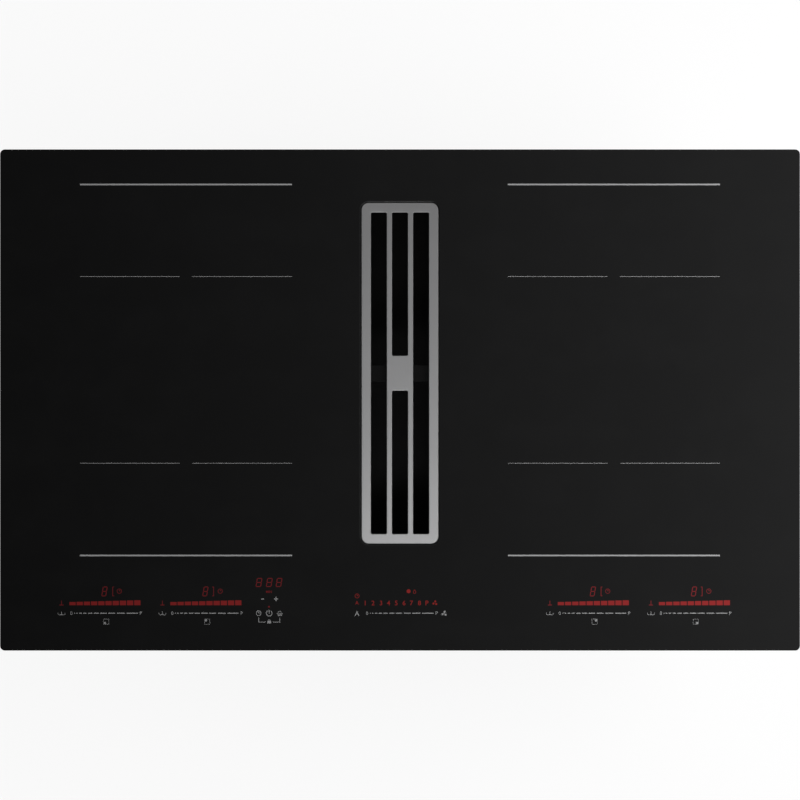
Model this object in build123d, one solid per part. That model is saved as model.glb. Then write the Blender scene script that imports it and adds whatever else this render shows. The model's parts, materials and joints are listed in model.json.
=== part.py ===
from build123d import *
import os
from math import acos, atan2, cos, degrees, hypot, radians, sin, sqrt

# A built-in induction cooktop whose extractor draws the cooking vapour down through a grille in
# the middle of the glass. Under the glass hang a shallow sheet-metal box with four coils and
# their electronics, a deep tub that holds the grease filter and the overflow tray, and, beside
# the tub, a moulded duct with a centrifugal fan that blows out of a flat spigot at the back.
#
# Frame, in millimetres: +X is the cook's right, +Y is the back, +Z is up. The origin lies under
# the centre of the glass, level with the lowest moulded edge of the duct and the tub.

# ---- Glass, seal and worktop cut-out ----
glass_width = 830.0
glass_depth = 520.0
glass_thickness = 4.0
glass_corner_radius = 5.0
glass_bevel = 1.2
depth_below_glass = 206.0

seal_width = 10.0
seal_thickness = 2.0
seal_inset = 4.0

worktop_overlap = (40.0, 15.0)
cutout_clearance = 4.0

# ---- Intake grille ----
grille_width = 79.6
grille_length = 353.4
grille_centre_y = 27.8
grille_corner_radius = 7.4
grille_thickness = 9.0
grille_proud = 1.0
grille_gap = 1.0
grille_edge = 0.6
slot_width = 16.6
slot_length = 333.8
slot_corner_cut = 1.2
slot_count = 3
bar_width = 5.3
bridge_length = 36.0
pad_size = (5.0, 14.0)
pad_height = 1.5
pad_pocket = 0.6

# ---- Ledge, grease filter, overflow tray and tub ----
rim_thickness = 1.5
ledge_width = 4.8
ledge_thickness = 2.5
plastic_wall = 2.5
rim_overlap = 3.8
lift_clearance = 1.5
filter_depth = 99.0
filter_wall = 1.2
filter_post = 12.0
mesh_thickness = 3.0
mesh_columns = 8
mesh_rows = 2
overflow_depth = 44.0
overflow_wall = 1.5
overflow_floor = 1.2
tub_floor_gap = 37.5
skirt_height = 8.0

# ---- Sheet-metal box under the glass ----
sheet = 1.0
box_height = 56.0
box_corner_cut = 7.0
frame_flange = 14.0
frame_skirt = 15.0
bond_thickness = 1.0
bond_width = 8.0
bond_inset = 2.0
side_screw_share = 0.34
nesting_gap = 0.2
vent_slot = (3.0, 50.0)
vent_pitch = 10.0
vent_count = 5
louvre_slot = (46.0, 4.0)
louvre_pitch = 60.0
louvre_count = 3

# ---- Cooking zones and electronics ----
zone_width = 220.0
zone_depth = 192.5
zone_centre_x = 222.0
zone_front_y = -65.1
coil_inner = (50.0, 22.0)
coil_turns = 4
coil_pitch = 17.0
coil_wire = 14.0
coil_height = 4.5
ferrite = (46.0, 12.0, 4.0)
ferrite_start = 24.0
former_thickness = 2.0
former_margin = 1.5
coil_plate_thickness = 1.5
coil_plate_side = 6.0
coil_plate_end = 2.0
mica_end = 4.0
mica_thickness = 0.6
mica_gap = 0.2
post_radius = 5.0
post_inset = 2.0
post_reach = 85.0
sensor_radius = 6.0
board_size = (196.0, 190.0)
board_thickness = 1.6
board_lift = 6.0
sink_size = (46.0, 90.0, 27.0)
sink_base = 4.0
sink_inset = 5.0
sink_fin = 2.0
sink_fins = 6
part_row = 33.0
capacitor_size = (9.0, 25.0)
capacitor_x = (-60.0, -36.0)
choke_size = (15.0, 7.0, 12.0)
choke_x = 26.0
blower_size = 80.0
blower_height = 26.0
blower_blades = 6
blower_wall = 2.0
blower_eye = 27.2
blower_jamb = 10.0
blower_hub = 13.0
blower_blade = (22.0, 1.4, 2.0)
pin_radius = 2.0
panel_depth = 58.0
panel_side_gap = 9.0
panel_front_gap = 1.0
panel_wall = 2.0
board_rise = 4.0
board_edge = 3.0
display_gap = 0.4
side_board_length = 243.0
middle_board_half = 69.0
rib_inset = 4.0
leg_radius = 4.0
leg_inset = 9.0
leg_share = 0.47

# ---- Duct, fan and motor ----
fan_y = -30.0
duct_to_tub = 14.5
wheel_radius = 95.0
wheel_top_gap = 5.5
wheel_floor_gap = 13.5
wheel_blades = 24
blade_depth = 15.2
blade_lead = 9.0
blade_bow = 0.32
blade_turn = 0.8
blade_inset = 0.8
scroll_gap = 9.0
scroll_step = 16.0
duct_inner = (218.0, 85.0)
plenum_radius = 110.0
inlet_radius = 68.0
round_sides = 36
inlet_lip = 8.0
inlet_wall = 2.0
throat_dip = 3.5
inlet_flare = 45.0
motor_radius = 45.0
motor_height = 57.5
motor_room = 5.0
motor_hole_sides = 24
cup_gap = 4.5
shaft_radius = 3.0
running_gap = 0.05
spigot_wall = 2.0
spigot_length = 25.0
spigot_flange = 3.0

# ---- Boxes under the tray, clamps and fasteners ----
driver_box = (150.0, 190.0, 38.0)
terminal_box = (110.0, 75.0, 38.0)
gland_radius = 10.0
gland_length = 8.0
clamp_reach = 40.0
clamp_width = 16.0
clamp_thickness = 2.5
clamp_joggle = 5.0
clamp_bolt_radius = 2.5
clamp_head = (4.5, 3.5)
clamp_shoulder = 6.0
clamp_play = 0.1
screw_radius = 1.75
screw_clearance = 0.15
screw_head = (7.0, 2.4)
boss_radius = 5.5
boss_height = 20.0
head_room = 4.6

# ---- Heights that follow ----
glass_under = depth_below_glass
glass_top = glass_under + glass_thickness
cutout_width = glass_width - 2 * worktop_overlap[0]
cutout_depth = glass_depth - 2 * worktop_overlap[1]
box_width = cutout_width - 2 * cutout_clearance
box_depth = cutout_depth - 2 * cutout_clearance
tray_under = glass_under - box_height
tray_floor = tray_under + sheet
frame_top = glass_under - bond_thickness

grille_top = glass_top + grille_proud
grille_under = grille_top - grille_thickness
rim_top = grille_under - pad_height
ledge_top = rim_top - rim_thickness
ledge_under = ledge_top - ledge_thickness

opening_width = grille_width + 2 * grille_gap
opening_length = grille_length + 2 * grille_gap
opening_radius = grille_corner_radius + grille_gap
tub_inner_width = opening_width - 2 * ledge_width
tub_inner_length = opening_length - 2 * ledge_width
tub_corner_cut = 4.0
tub_wall_x = tub_inner_width / 2 + plastic_wall
insert_width = tub_inner_width - 2 * lift_clearance
insert_length = tub_inner_length - 2 * lift_clearance
tub_floor = skirt_height + plastic_wall
overflow_under = tub_floor + tub_floor_gap
filter_under = ledge_top - filter_depth
grille_at = (0.0, grille_centre_y)

duct_floor = skirt_height + plastic_wall
duct_roof = duct_floor + duct_inner[1]
plate_top = duct_roof + plastic_wall
plenum_ceiling = tray_under - plastic_wall

zone_rear_y = zone_front_y + zone_depth
mica_top = glass_under - mica_gap
coil_top = mica_top - mica_thickness
former_top = coil_top - coil_height
ferrite_top = former_top - former_thickness
coil_plate_top = ferrite_top - ferrite[2]
coil_plate_under = coil_plate_top - coil_plate_thickness
board_under = tray_floor + board_lift
board_top = board_under + board_thickness


# ---- Shapes that many pieces use ----
def slab(width, depth, radius, low, high, at=(0.0, 0.0)):
    """A rounded rectangle, standing from one height to another."""
    return Pos(at[0], at[1], low) * extrude(RectangleRounded(width, depth, radius), high - low)


def plate(width, depth, low, high, at=(0.0, 0.0), cut=0.0):
    """A rectangle with its corners square or cut straight, standing between two heights."""
    outline = Rectangle(width, depth)
    if cut > 0:
        outline = chamfer(outline.vertices(), cut)
    return Pos(at[0], at[1], low) * extrude(outline, high - low)


def plate_ring(width, depth, wall, low, high, at=(0.0, 0.0), cut=0.0):
    """A rectangular ring whose wall lies inside the given outline."""
    hole = plate(width - 2 * wall, depth - 2 * wall, low, high, at, cut)
    return plate(width, depth, low, high, at, cut) - hole


def block(x_range, y_range, z_range):
    """A box between two corners."""
    size = [high - low for low, high in (x_range, y_range, z_range)]
    middle = [(high + low) / 2 for low, high in (x_range, y_range, z_range)]
    return Pos(*middle) * Box(*size)


def disc(radius, low, high, at=(0.0, 0.0)):
    """A cylinder standing from one height to another."""
    upright = (Align.CENTER, Align.CENTER, Align.MIN)
    return Pos(at[0], at[1], low) * Cylinder(radius, high - low, align=upright)


def peg(sides, radius, low, high, at=(0.0, 0.0)):
    """A many-sided prism, for small pegs, bosses and cans."""
    return Pos(at[0], at[1], low) * extrude(RegularPolygon(radius, sides), high - low)


def polar(radius, turn, centre=(0.0, 0.0)):
    """A point at a radius and an angle in degrees about a centre."""
    angle = radians(turn)
    return (centre[0] + radius * cos(angle), centre[1] + radius * sin(angle))


def screw_cap():
    """A screw's hexagon head standing on the plane Z = 0; its thread is hidden in plastic."""
    return extrude(RegularPolygon(screw_head[0] / 2, 6, major_radius=False), screw_head[1])


def screw(length, radius=screw_radius):
    """A hexagon-headed screw through sheet metal: the shank runs down from Z = 0."""
    return screw_cap() + extrude(RegularPolygon(radius, 6), -length)


def top_rim(part, height):
    """The edges of a part that lie at one height."""
    return part.edges().filter_by_position(Axis.Z, height - 0.001, height + 0.001)


def save(name, *solids):
    """Writes one named piece, or one group of like pieces, as a STEP file."""
    shape = solids[0] if len(solids) == 1 else Compound(children=list(solids))
    export_step(shape, f"parts/{name}.step")


# ---- Glass and what holds it ----
def glass_plate():
    pane = slab(glass_width, glass_depth, glass_corner_radius, glass_under, glass_top)
    pane = chamfer(top_rim(pane, glass_top), glass_bevel)
    return pane - slab(opening_width, opening_length, opening_radius, glass_under, glass_top,
                       grille_at)


def worktop_seal():
    width, depth = glass_width - 2 * seal_inset, glass_depth - 2 * seal_inset
    return plate_ring(width, depth, seal_width, glass_under - seal_thickness, glass_under)


def bond_beads():
    """The silicone that holds the glass on its frame and the collar under the glass."""
    outer = plate_ring(box_width - 2 * bond_inset, box_depth - 2 * bond_inset, bond_width,
                       frame_top, glass_under, cut=box_corner_cut)
    width = opening_width + 2 * (collar_wall + collar_flange - bond_inset)
    length = opening_length + 2 * (collar_wall + collar_flange - bond_inset)
    inner = plate_ring(width, length, bond_width, collar_top, glass_under, grille_at,
                       cut=collar_flange)
    return outer, inner


def side_screw_places():
    """Where the frame is screwed to the tray: each place and the turn that faces outwards."""
    level = frame_top - frame_skirt / 2
    places = []
    for side in (-1, 1):
        places.append(((side * box_width / 2, 0.0, level), (0, side * 90, 0)))
        for x in (-side_screw_share, side_screw_share):
            places.append(((x * box_width, side * box_depth / 2, level), (-side * 90, 0, 0)))
    return places


def side_screws():
    return [Location(place, turn) * screw_cap() for place, turn in side_screw_places()]


def support_frame():
    """A pressed ring: a flange bonded under the glass and a skirt that the tray slips into."""
    flange = plate_ring(box_width, box_depth, frame_flange, frame_top - sheet, frame_top,
                        cut=box_corner_cut)
    skirt = plate_ring(box_width, box_depth, sheet, frame_top - frame_skirt, frame_top,
                       cut=box_corner_cut)
    return flange + skirt


# ---- The tray with the electronics ----
tray_width = box_width - 2 * (sheet + nesting_gap)
tray_depth = box_depth - 2 * (sheet + nesting_gap)
tray_top = frame_top - sheet - nesting_gap
blower_y = zone_rear_y + 32.0
board_y = -10.0
rail_inset, rail_width, rail_end = 10.0, 8.0, 15.0
hanger_gap = 14.0
hole_gap = 2.0
lip_height = 6.0
bead = (150.0, 10.0, 1.5)
bead_rows = (-195.0, -150.0)


def board_rails(side):
    """Two pressed rails that carry a power board."""
    rails = []
    for end in (-1, 1):
        at = (side * zone_centre_x + end * (board_size[0] / 2 - rail_inset), board_y)
        rails.append(plate(rail_width, board_size[1] - 2 * rail_end, tray_floor, board_under, at))
    return rails


def clamp_pivots():
    """Pivot of each worktop clamp, with the side and end of the tray that it serves."""
    inset_x, inset_y = 26.0, 40.0
    return [(side, end, (side * (box_width / 2 - inset_x), end * (box_depth / 2 - inset_y)))
            for side in (-1, 1) for end in (-1, 1)]


def base_tray():
    shell = plate(tray_width, tray_depth, tray_under, tray_top, cut=box_corner_cut)
    shell -= plate(tray_width - 2 * sheet, tray_depth - 2 * sheet, tray_floor, tray_top,
                   cut=box_corner_cut)
    # the hole for the tub, with an upturned lip
    hole = (2 * (tub_wall_x + hole_gap), tub_inner_length + 2 * (plastic_wall + hole_gap))
    shell += plate(hole[0] + 2 * sheet, hole[1] + 2 * sheet, tray_floor, tray_floor + lip_height,
                   grille_at, cut=4.0)
    shell -= plate(*hole, tray_under, tray_floor + lip_height, grille_at, cut=4.0)
    # rails under the power boards and two pressed beads on each side
    shell = shell.fuse(*[rail for side in (-1, 1) for rail in board_rails(side)])
    for side in (-1, 1):
        for y in bead_rows:
            at = (side * zone_centre_x, y)
            shell += plate(bead[0], bead[1], tray_floor, tray_floor + bead[2], at)
            shell -= plate(bead[0] - 2 * sheet, bead[1] - 2 * sheet, tray_under,
                           tray_under + bead[2], at)
    # air slots under each blower and through the front and back walls
    cuts = []
    for side in (-1, 1):
        for i in range(vent_count):
            x = side * zone_centre_x + (i - (vent_count - 1) / 2) * vent_pitch
            cuts.append(Pos(x, blower_y, tray_under) * Box(*vent_slot, 4 * sheet))
        for i in range(louvre_count):
            x = side * zone_centre_x + (i - (louvre_count - 1) / 2) * louvre_pitch
            for end in (-1, 1):
                at = (x, end * tray_depth / 2, (tray_floor + tray_top) / 2 - 6.0)
                cuts.append(Pos(*at) * Box(louvre_slot[0], 4 * sheet, louvre_slot[1]))
    return shell - cuts


def power_board(side):
    at = (side * zone_centre_x, board_y)
    return plate(board_size[0], board_size[1], board_under, board_top, at)


def heatsink(side):
    """The extruded sink in front of each blower, its fins along the air's way."""
    width, length, height = sink_size
    start = board_y + board_size[1] / 2 - sink_inset - length
    at_x = side * zone_centre_x
    sink = block((at_x - width / 2, at_x + width / 2), (start, start + length),
                 (board_top, board_top + sink_base))
    pitch = (width - sink_fin) / (sink_fins - 1)
    fins = []
    for i in range(sink_fins):
        x = at_x - width / 2 + i * pitch
        fins.append(block((x, x + sink_fin), (start, start + length),
                          (board_top, board_top + height)))
    return sink.fuse(*fins)


def capacitors(side):
    """Two upright cans near the front edge of the board."""
    radius, height = capacitor_size
    y = board_y - board_size[1] / 2 + part_row
    return [peg(10, radius, board_top, board_top + height, (side * zone_centre_x + x, y))
            for x in capacitor_x]


def choke(side):
    """A toroid that lies flat on the board."""
    outer, inner, height = choke_size
    at = (side * zone_centre_x + choke_x, board_y - board_size[1] / 2 + part_row)
    return (peg(10, outer, board_top, board_top + height, at)
            - peg(10, inner, board_top, board_top + height, at))


def blower_housing(side):
    """A flat blower: air enters through the floor and leaves towards the heatsink."""
    at = (side * zone_centre_x, blower_y)
    half, wall = blower_size / 2, blower_wall
    low, high = tray_floor, tray_floor + blower_height
    shell = plate(blower_size, blower_size, low, high, at)
    shell -= plate(blower_size - 2 * wall, blower_size - 2 * wall, low + wall, high - wall, at)
    shell -= peg(12, blower_eye, low, low + wall, at)
    shell -= block((at[0] - half + blower_jamb, at[0] + half - blower_jamb),
                   (at[1] - half - wall, at[1] - half + 2 * wall), (low + wall, high - wall))
    return shell + peg(6, pin_radius, low + 3 * wall, high, at)


def blower_rotor(side):
    at = (side * zone_centre_x, blower_y)
    low, high = tray_floor + 2 * blower_wall, tray_floor + blower_height - 2 * blower_wall
    rotor = peg(2 * blower_blades, blower_hub, low + 1.0, high, at)
    length, thickness, inset = blower_blade
    for i in range(blower_blades):
        blade = Pos(length, 0, (low + high) / 2) * Box(length, thickness, high - low - 2 * inset)
        rotor += Pos(*at, 0) * Rot(0, 0, i * 360 / blower_blades) * blade
    return rotor - disc(pin_radius + running_gap, low, high, at)


# ---- Coils and the control panel ----
def corner_signs(k):
    """The four corners of a rectangle, counted anticlockwise from the back right."""
    return ((1, 1), (-1, 1), (-1, -1), (1, -1))[k % 4]


def square_spiral(inner, pitch, wire, turns):
    """Flat face of a band wound in rectangular turns, stepping out a little at each corner."""
    inside, outside = [], []
    for k in range(4 * turns + 1):
        sx, sy = corner_signs(k)
        grow = pitch * k / 4
        inside.append((sx * (inner[0] / 2 + grow), sy * (inner[1] / 2 + grow)))
        outside.append((sx * (inner[0] / 2 + grow + wire), sy * (inner[1] / 2 + grow + wire)))
    return make_face(Polyline(*outside, *reversed(inside), close=True))


def zone_centres():
    return {
        "front_left": (-zone_centre_x, zone_front_y),
        "rear_left": (-zone_centre_x, zone_rear_y),
        "front_right": (zone_centre_x, zone_front_y),
        "rear_right": (zone_centre_x, zone_rear_y),
    }


def coil(at):
    face = square_spiral(coil_inner, coil_pitch, coil_wire, coil_turns)
    return Pos(*at, former_top) * extrude(face, coil_height)


def coil_former(at):
    grow = 2 * (coil_pitch * coil_turns + coil_wire + former_margin)
    return plate(coil_inner[0] + grow, coil_inner[1] + grow, ferrite_top, former_top, at)


def ferrites(at):
    middle = ferrite_start + ferrite[0] / 2
    bar = Pos(middle, 0, coil_plate_top + ferrite[2] / 2) * Box(*ferrite)
    return [Pos(*at, 0) * Rot(0, 0, 90.0 * k) * bar for k in range(4)]


def coil_plate(side):
    at = (side * zone_centre_x, (zone_front_y + zone_rear_y) / 2)
    return plate(zone_width + 2 * coil_plate_side, 2 * (zone_depth - coil_plate_end),
                 coil_plate_under, coil_plate_top, at)


def mica_sheet(side):
    at = (side * zone_centre_x, (zone_front_y + zone_rear_y) / 2)
    return plate(zone_width, 2 * (zone_depth - mica_end), coil_top, mica_top, at)


def coil_posts():
    """Spring posts that press the coil plates up against the glass."""
    posts = []
    for side in (-1, 1):
        for end_x in (-1, 1):
            for y in (zone_front_y - post_reach, zone_rear_y + post_reach):
                at = (side * zone_centre_x + end_x * (zone_width / 2 - post_inset), y)
                posts.append(peg(6, post_radius, tray_floor, coil_plate_under, at))
    return posts


def coil_sensor(at):
    return peg(8, sensor_radius, former_top, coil_top, at)


panel_front_y = frame_flange + panel_front_gap - box_depth / 2
panel_back_y = panel_front_y + panel_depth
panel_width = box_width - 2 * (frame_flange + panel_side_gap)
panel_under = coil_plate_under
panel_board_z = panel_under + board_rise
display_top = glass_under - display_gap
slider_insets = (42.2, 147.0)
slider_box, digit_box, timer_box, number_box = 76.0, 28.0, 28.0, 90.0
digit_shift, timer_inset, number_box_x = 8.0, 212.0, -3.0
bar_row, digit_row, timer_row = (12.0, 20.0), (21.0, 34.0), (24.0, 44.0)


def touch_carrier():
    """The plastic trough that holds the touch boards against the glass."""
    middle = (0.0, (panel_front_y + panel_back_y) / 2)
    trough = plate(panel_width, panel_depth, panel_under, mica_top, middle)
    trough -= plate(panel_width - 2 * panel_wall, panel_depth - 2 * panel_wall,
                    panel_under + panel_wall, mica_top, middle)
    ribs = []
    for low, high in touch_board_spans():
        for x in (low + rib_inset, high - rib_inset):
            ribs.append(block((x - 1, x + 1), (panel_front_y + 1, panel_back_y - 1),
                              (panel_under + 1, panel_board_z)))
    trough = trough.fuse(*ribs)
    # legs that stand on the tray's floor
    for x in (-leg_share, 0.0, leg_share):
        at = (x * panel_width, panel_back_y - leg_inset)
        trough += peg(6, leg_radius, tray_floor, panel_under + 1.0, at)
    return trough


def touch_board_spans():
    """Start and end of the left, middle and right touch board."""
    end = panel_width / 2 - 2 * panel_wall
    return [(-end, side_board_length - end), (-middle_board_half, middle_board_half),
            (end - side_board_length, end)]


def touch_board(x_range):
    return block(x_range, (panel_front_y + board_edge, panel_back_y - board_edge),
                 (panel_board_z, panel_board_z + board_thickness))


def led_displays():
    """Light boxes for the bar graphs, the digits and the extractor's number row."""
    half = panel_width / 2
    places = []
    for side in (-1, 1):
        for inset in slider_insets:
            middle = side * (half - inset)
            places.append((middle, slider_box, bar_row))
            places.append((middle + digit_shift, digit_box, digit_row))
    places.append((timer_inset - half, timer_box, timer_row))
    places.append((number_box_x, number_box, bar_row))
    boxes = []
    for x, width, (front, back) in places:
        boxes.append(block((x - width / 2, x + width / 2),
                           (panel_front_y + front, panel_front_y + back),
                           (panel_board_z + board_thickness, display_top)))
    return boxes


# ---- Collar, tub and what stands in it ----
collar_wall = 2.0
collar_flange = 12.0
collar_flange_thickness = 2.0
collar_top = glass_under - 0.5


def collar_screw_points():
    x = opening_width / 2 + collar_wall + head_room
    step = 0.4 * opening_length
    return [(side * x, grille_centre_y + end * step) for side in (-1, 1) for end in (-1, 1)]


def well_collar():
    """The rim under the glass opening, with the ledge that the filter and grille stand on."""
    width, length = opening_width + 2 * collar_wall, opening_length + 2 * collar_wall
    collar = plate(width, length, ledge_under, collar_top, grille_at, cut=4.0)
    collar += plate(width + 2 * collar_flange, length + 2 * collar_flange,
                    collar_top - collar_flange_thickness, collar_top, grille_at, cut=collar_flange)
    bosses = [peg(8, boss_radius, ledge_under, collar_top, at) for at in collar_screw_points()]
    collar = collar.fuse(*bosses)
    collar -= plate(opening_width, opening_length, ledge_top, collar_top, grille_at, cut=4.0)
    return collar - plate(tub_inner_width, tub_inner_length, ledge_under, ledge_top, grille_at,
                          cut=tub_corner_cut)


tub_corner_radius = 8.0
tub_flange_under = ledge_under - plastic_wall
window_low = plate_top + 4.0
window_high = plenum_ceiling - 3.5
window_ends = (grille_centre_y - 138.0, grille_centre_y + 142.0)
window_post = 8.0
window_count = 3


def tub_windows():
    """The openings in the tub's left wall that lead to the fan."""
    span = (window_ends[1] - window_ends[0] - (window_count - 1) * window_post) / window_count
    cuts = []
    for i in range(window_count):
        low = window_ends[0] + i * (span + window_post)
        cuts.append(block((-tub_wall_x - 2, -tub_wall_x + 2 * plastic_wall),
                          (low, low + span), (window_low, window_high)))
    return cuts


def intake_tub():
    outer = (2 * tub_wall_x, tub_inner_length + 2 * plastic_wall)
    tub = slab(*outer, tub_corner_radius, 0.0, ledge_under, grille_at)
    margin = 2 * (collar_wall + 2 * boss_radius)
    tub += plate(opening_width + margin, opening_length + margin, tub_flange_under, ledge_under,
                 grille_at, cut=collar_flange)
    for low, high in ((tub_floor, ledge_under), (0.0, skirt_height)):
        tub -= plate(tub_inner_width, tub_inner_length, low, high, grille_at, cut=tub_corner_cut)
    # stiffening ribs outside the right wall, and lugs inside for the overflow tray
    rib_depth, rib_width, rib_count = 1.5, 3.0, 5
    for i in range(rib_count):
        y = grille_centre_y + (i - (rib_count - 1) / 2) * tub_inner_length / (rib_count + 1)
        tub += block((tub_wall_x - 0.5, tub_wall_x + rib_depth),
                     (y - rib_width / 2, y + rib_width / 2), (2.0, tray_under - 4.0))
    lug = (3.0, 30.0, 4.0)
    for side in (-1, 1):
        for k in (-1, 1):
            y = grille_centre_y + k * 0.36 * tub_inner_length
            inner = side * (tub_inner_width / 2 - lug[0])
            outer_x = side * (tub_inner_width / 2 + 0.5)
            tub += block(sorted((inner, outer_x)), (y - lug[1] / 2, y + lug[1] / 2),
                         (overflow_under - lug[2], overflow_under))
    return tub - tub_windows()


def tub_screws():
    return [Location((*at, tub_flange_under), (180, 0, 0)) * screw_cap()
            for at in collar_screw_points()]


def overflow_tray():
    """The lift-out basin that catches what boils over into the grille."""
    top = overflow_under + overflow_depth
    basin = plate(insert_width, insert_length, overflow_under, top, grille_at, cut=tub_corner_cut)
    basin -= plate(insert_width - 2 * overflow_wall, insert_length - 2 * overflow_wall,
                   overflow_under + overflow_floor, top, grille_at, cut=tub_corner_cut)
    # a finger grip across each end
    for end in (-1, 1):
        y = grille_centre_y + end * (insert_length / 2 - 14.0)
        basin += block((-insert_width / 2 + 1, insert_width / 2 - 1), (y - 1, y + 1),
                       (top - 10.0, top))
    return basin


mesh_low = filter_under + 6.0
mesh_high = window_high
mesh_length = insert_length - 2 * filter_post


def filter_frame():
    """The black steel cassette: rim, closed upper band, open long sides and a trough below."""
    body = plate(insert_width, insert_length, filter_under, rim_top, grille_at,
                 cut=tub_corner_cut)
    rim_width = tub_inner_width + 2 * rim_overlap
    rim_length = tub_inner_length + 2 * rim_overlap
    body += slab(rim_width, rim_length, grille_corner_radius, ledge_top, rim_top, grille_at)
    body -= plate(insert_width - 2 * filter_wall, insert_length - 2 * filter_wall,
                  filter_under + filter_wall, rim_top, grille_at, cut=tub_corner_cut)
    window_margin = 4.0
    half = mesh_length / 2 - window_margin
    for side in (-1, 1):
        x = side * insert_width / 2
        body -= block((x - 2, x + 2), (grille_centre_y - half, grille_centre_y + half),
                      (mesh_low + window_margin, mesh_high - window_margin))
    return body


def filter_mesh(side):
    """One panel of expanded metal, a holed plate that stands inside the cassette's long side."""
    outer = insert_width / 2 - filter_wall
    inner = outer - mesh_thickness
    panel = block(sorted((side * inner, side * outer)),
                  (grille_centre_y - mesh_length / 2, grille_centre_y + mesh_length / 2),
                  (filter_under + filter_wall, mesh_high))
    border = 7.0
    pitch_y = (mesh_length - 2 * border) / mesh_columns
    pitch_z = (mesh_high - mesh_low - border) / mesh_rows
    side_y, side_z = pitch_y / 2 - 1.2, pitch_z / 2 - 1.2
    diamond = make_face(Polyline((-side_y, 0), (0, -side_z), (side_y, 0), (0, side_z), close=True))
    drill = Rot(0, 90, 0) * Rot(0, 0, 90) * extrude(diamond, 3 * mesh_thickness, both=True)
    cuts = []
    for row in range(mesh_rows):
        for column in range(mesh_columns):
            y = grille_centre_y - mesh_length / 2 + border + (column + 0.5) * pitch_y
            z = mesh_low + border / 2 + (row + 0.5) * pitch_z
            cuts.append(Pos(side * (inner + outer) / 2, y, z) * drill)
    return panel - cuts


def filter_handle():
    """A strap across the cassette under the bridge of the grille."""
    half = insert_width / 2 - filter_wall
    top = ledge_top - 8.0
    strap = block((-half, half), (grille_centre_y - 9, grille_centre_y + 9), (top - 16.0, top))
    strap -= block((-half + 9, half - 9), (grille_centre_y - 10, grille_centre_y + 10),
                   (top - 17.0, top - 3.0))
    return strap


def grille_slots():
    """(x, y, length) of each slot: the middle one is parted by the bridge."""
    pitch = slot_width + bar_width
    slots = []
    for k in range(slot_count):
        x = (k - (slot_count - 1) / 2) * pitch
        if abs(x) > pitch / 2:
            slots.append((x, grille_centre_y, slot_length))
        else:
            part = (slot_length - bridge_length) / 2
            shift = (bridge_length + part) / 2
            slots += [(x, grille_centre_y + end * shift, part) for end in (-1, 1)]
    return slots


def pad_places():
    x = (tub_inner_width / 2 + rim_overlap - pad_size[0] / 2) - 1.0
    y = 0.42 * grille_length
    return [(side * x, grille_centre_y + end * y) for side in (-1, 1) for end in (-1, 1)]


def grille():
    """The cast grille, with four tabs that drop inside the cassette's rim."""
    body = slab(grille_width, grille_length, grille_corner_radius,
                grille_under, grille_top, grille_at)
    for x, y, length in grille_slots():
        body -= plate(slot_width, length, grille_under, grille_top, (x, y), cut=slot_corner_cut)
    body = chamfer(top_rim(body, grille_top), grille_edge)
    tab_outer = insert_width / 2 - filter_wall - 0.7
    tab_inner = slot_width * slot_count / 2 + bar_width * (slot_count - 1) / 2 + 0.4
    for side in (-1, 1):
        for end in (-1, 1):
            y = grille_centre_y + end * 0.3 * grille_length
            body += block(sorted((side * tab_inner, side * tab_outer)), (y - 10, y + 10),
                          (rim_top - 3.0, grille_under + 0.5))
    for at in pad_places():
        body -= Pos(*at, grille_under) * Box(*pad_size, 2 * pad_pocket)
    return body


def grille_pads():
    height = pad_height + pad_pocket
    return [Pos(*at, rim_top + height / 2) * Box(*pad_size, height) for at in pad_places()]


# ---- Duct and fan ----
scroll_radii = [wheel_radius + scroll_gap + k * scroll_step for k in range(3)]
duct_right = -tub_wall_x - duct_to_tub
duct_end_y = box_depth / 2 - 1.0 - spigot_flange - spigot_length
fan_x = duct_right - scroll_radii[2] - scroll_step
fan_at = (fan_x, fan_y)
duct_left = duct_right - duct_inner[0]
scroll_centres = [
    fan_at,
    (fan_x + scroll_step, fan_y),
    (fan_x + scroll_step, fan_y + scroll_step),
]


def duct_face(grow):
    """Plan of the duct: three arcs that widen round the fan, then a straight outlet."""
    radii = [r + grow for r in scroll_radii]
    first, second, third = scroll_centres
    left, right = duct_left - grow, duct_right + grow
    # a duct narrower than the scroll meets the first arc at the tongue, and a wider one starts
    # with a shoulder where that arc ends
    reach = first[0] - left
    edges = [
        CenterArc(second, radii[1], 180, 90),
        CenterArc(third, radii[2], 270, 90),
        Line((right, third[1]), (right, duct_end_y)),
        Line((right, duct_end_y), (left, duct_end_y)),
    ]
    if reach < radii[0]:
        turn = degrees(acos(-reach / radii[0]))
        tongue = (left, first[1] + sqrt(radii[0] ** 2 - reach ** 2))
        edges.append(CenterArc(first, radii[0], turn, 180 - turn))
    else:
        tongue = (left, first[1] + reach - radii[0])
        if reach > radii[0]:
            edges.append(Line(tongue, (first[0] - radii[0], first[1])))
    edges.append(Line((left, duct_end_y), tongue))
    return make_face(edges)


def duct_slab(grow, low, high):
    return Pos(0, 0, low) * extrude(duct_face(grow), high - low)


def duct_boss_points():
    """Screw bosses round the outside of the duct."""
    out = plastic_wall + head_room
    points = [polar(scroll_radii[0] + out, 155.0, scroll_centres[0]),
              polar(scroll_radii[1] + out, 225.0, scroll_centres[1]),
              polar(scroll_radii[2] + out, 315.0, scroll_centres[2])]
    points.append((duct_right + out, fan_y + 100.0))
    return points + [(duct_left - out, duct_end_y - 60.0)]


spigot_ear = 14.0
spigot_screw_z = [(duct_floor + duct_roof) / 2 + dz for dz in (-30.0, 30.0)]
spigot_screw_x = [duct_left - plastic_wall - spigot_ear / 2,
                  duct_right + plastic_wall + spigot_ear / 2]


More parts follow.
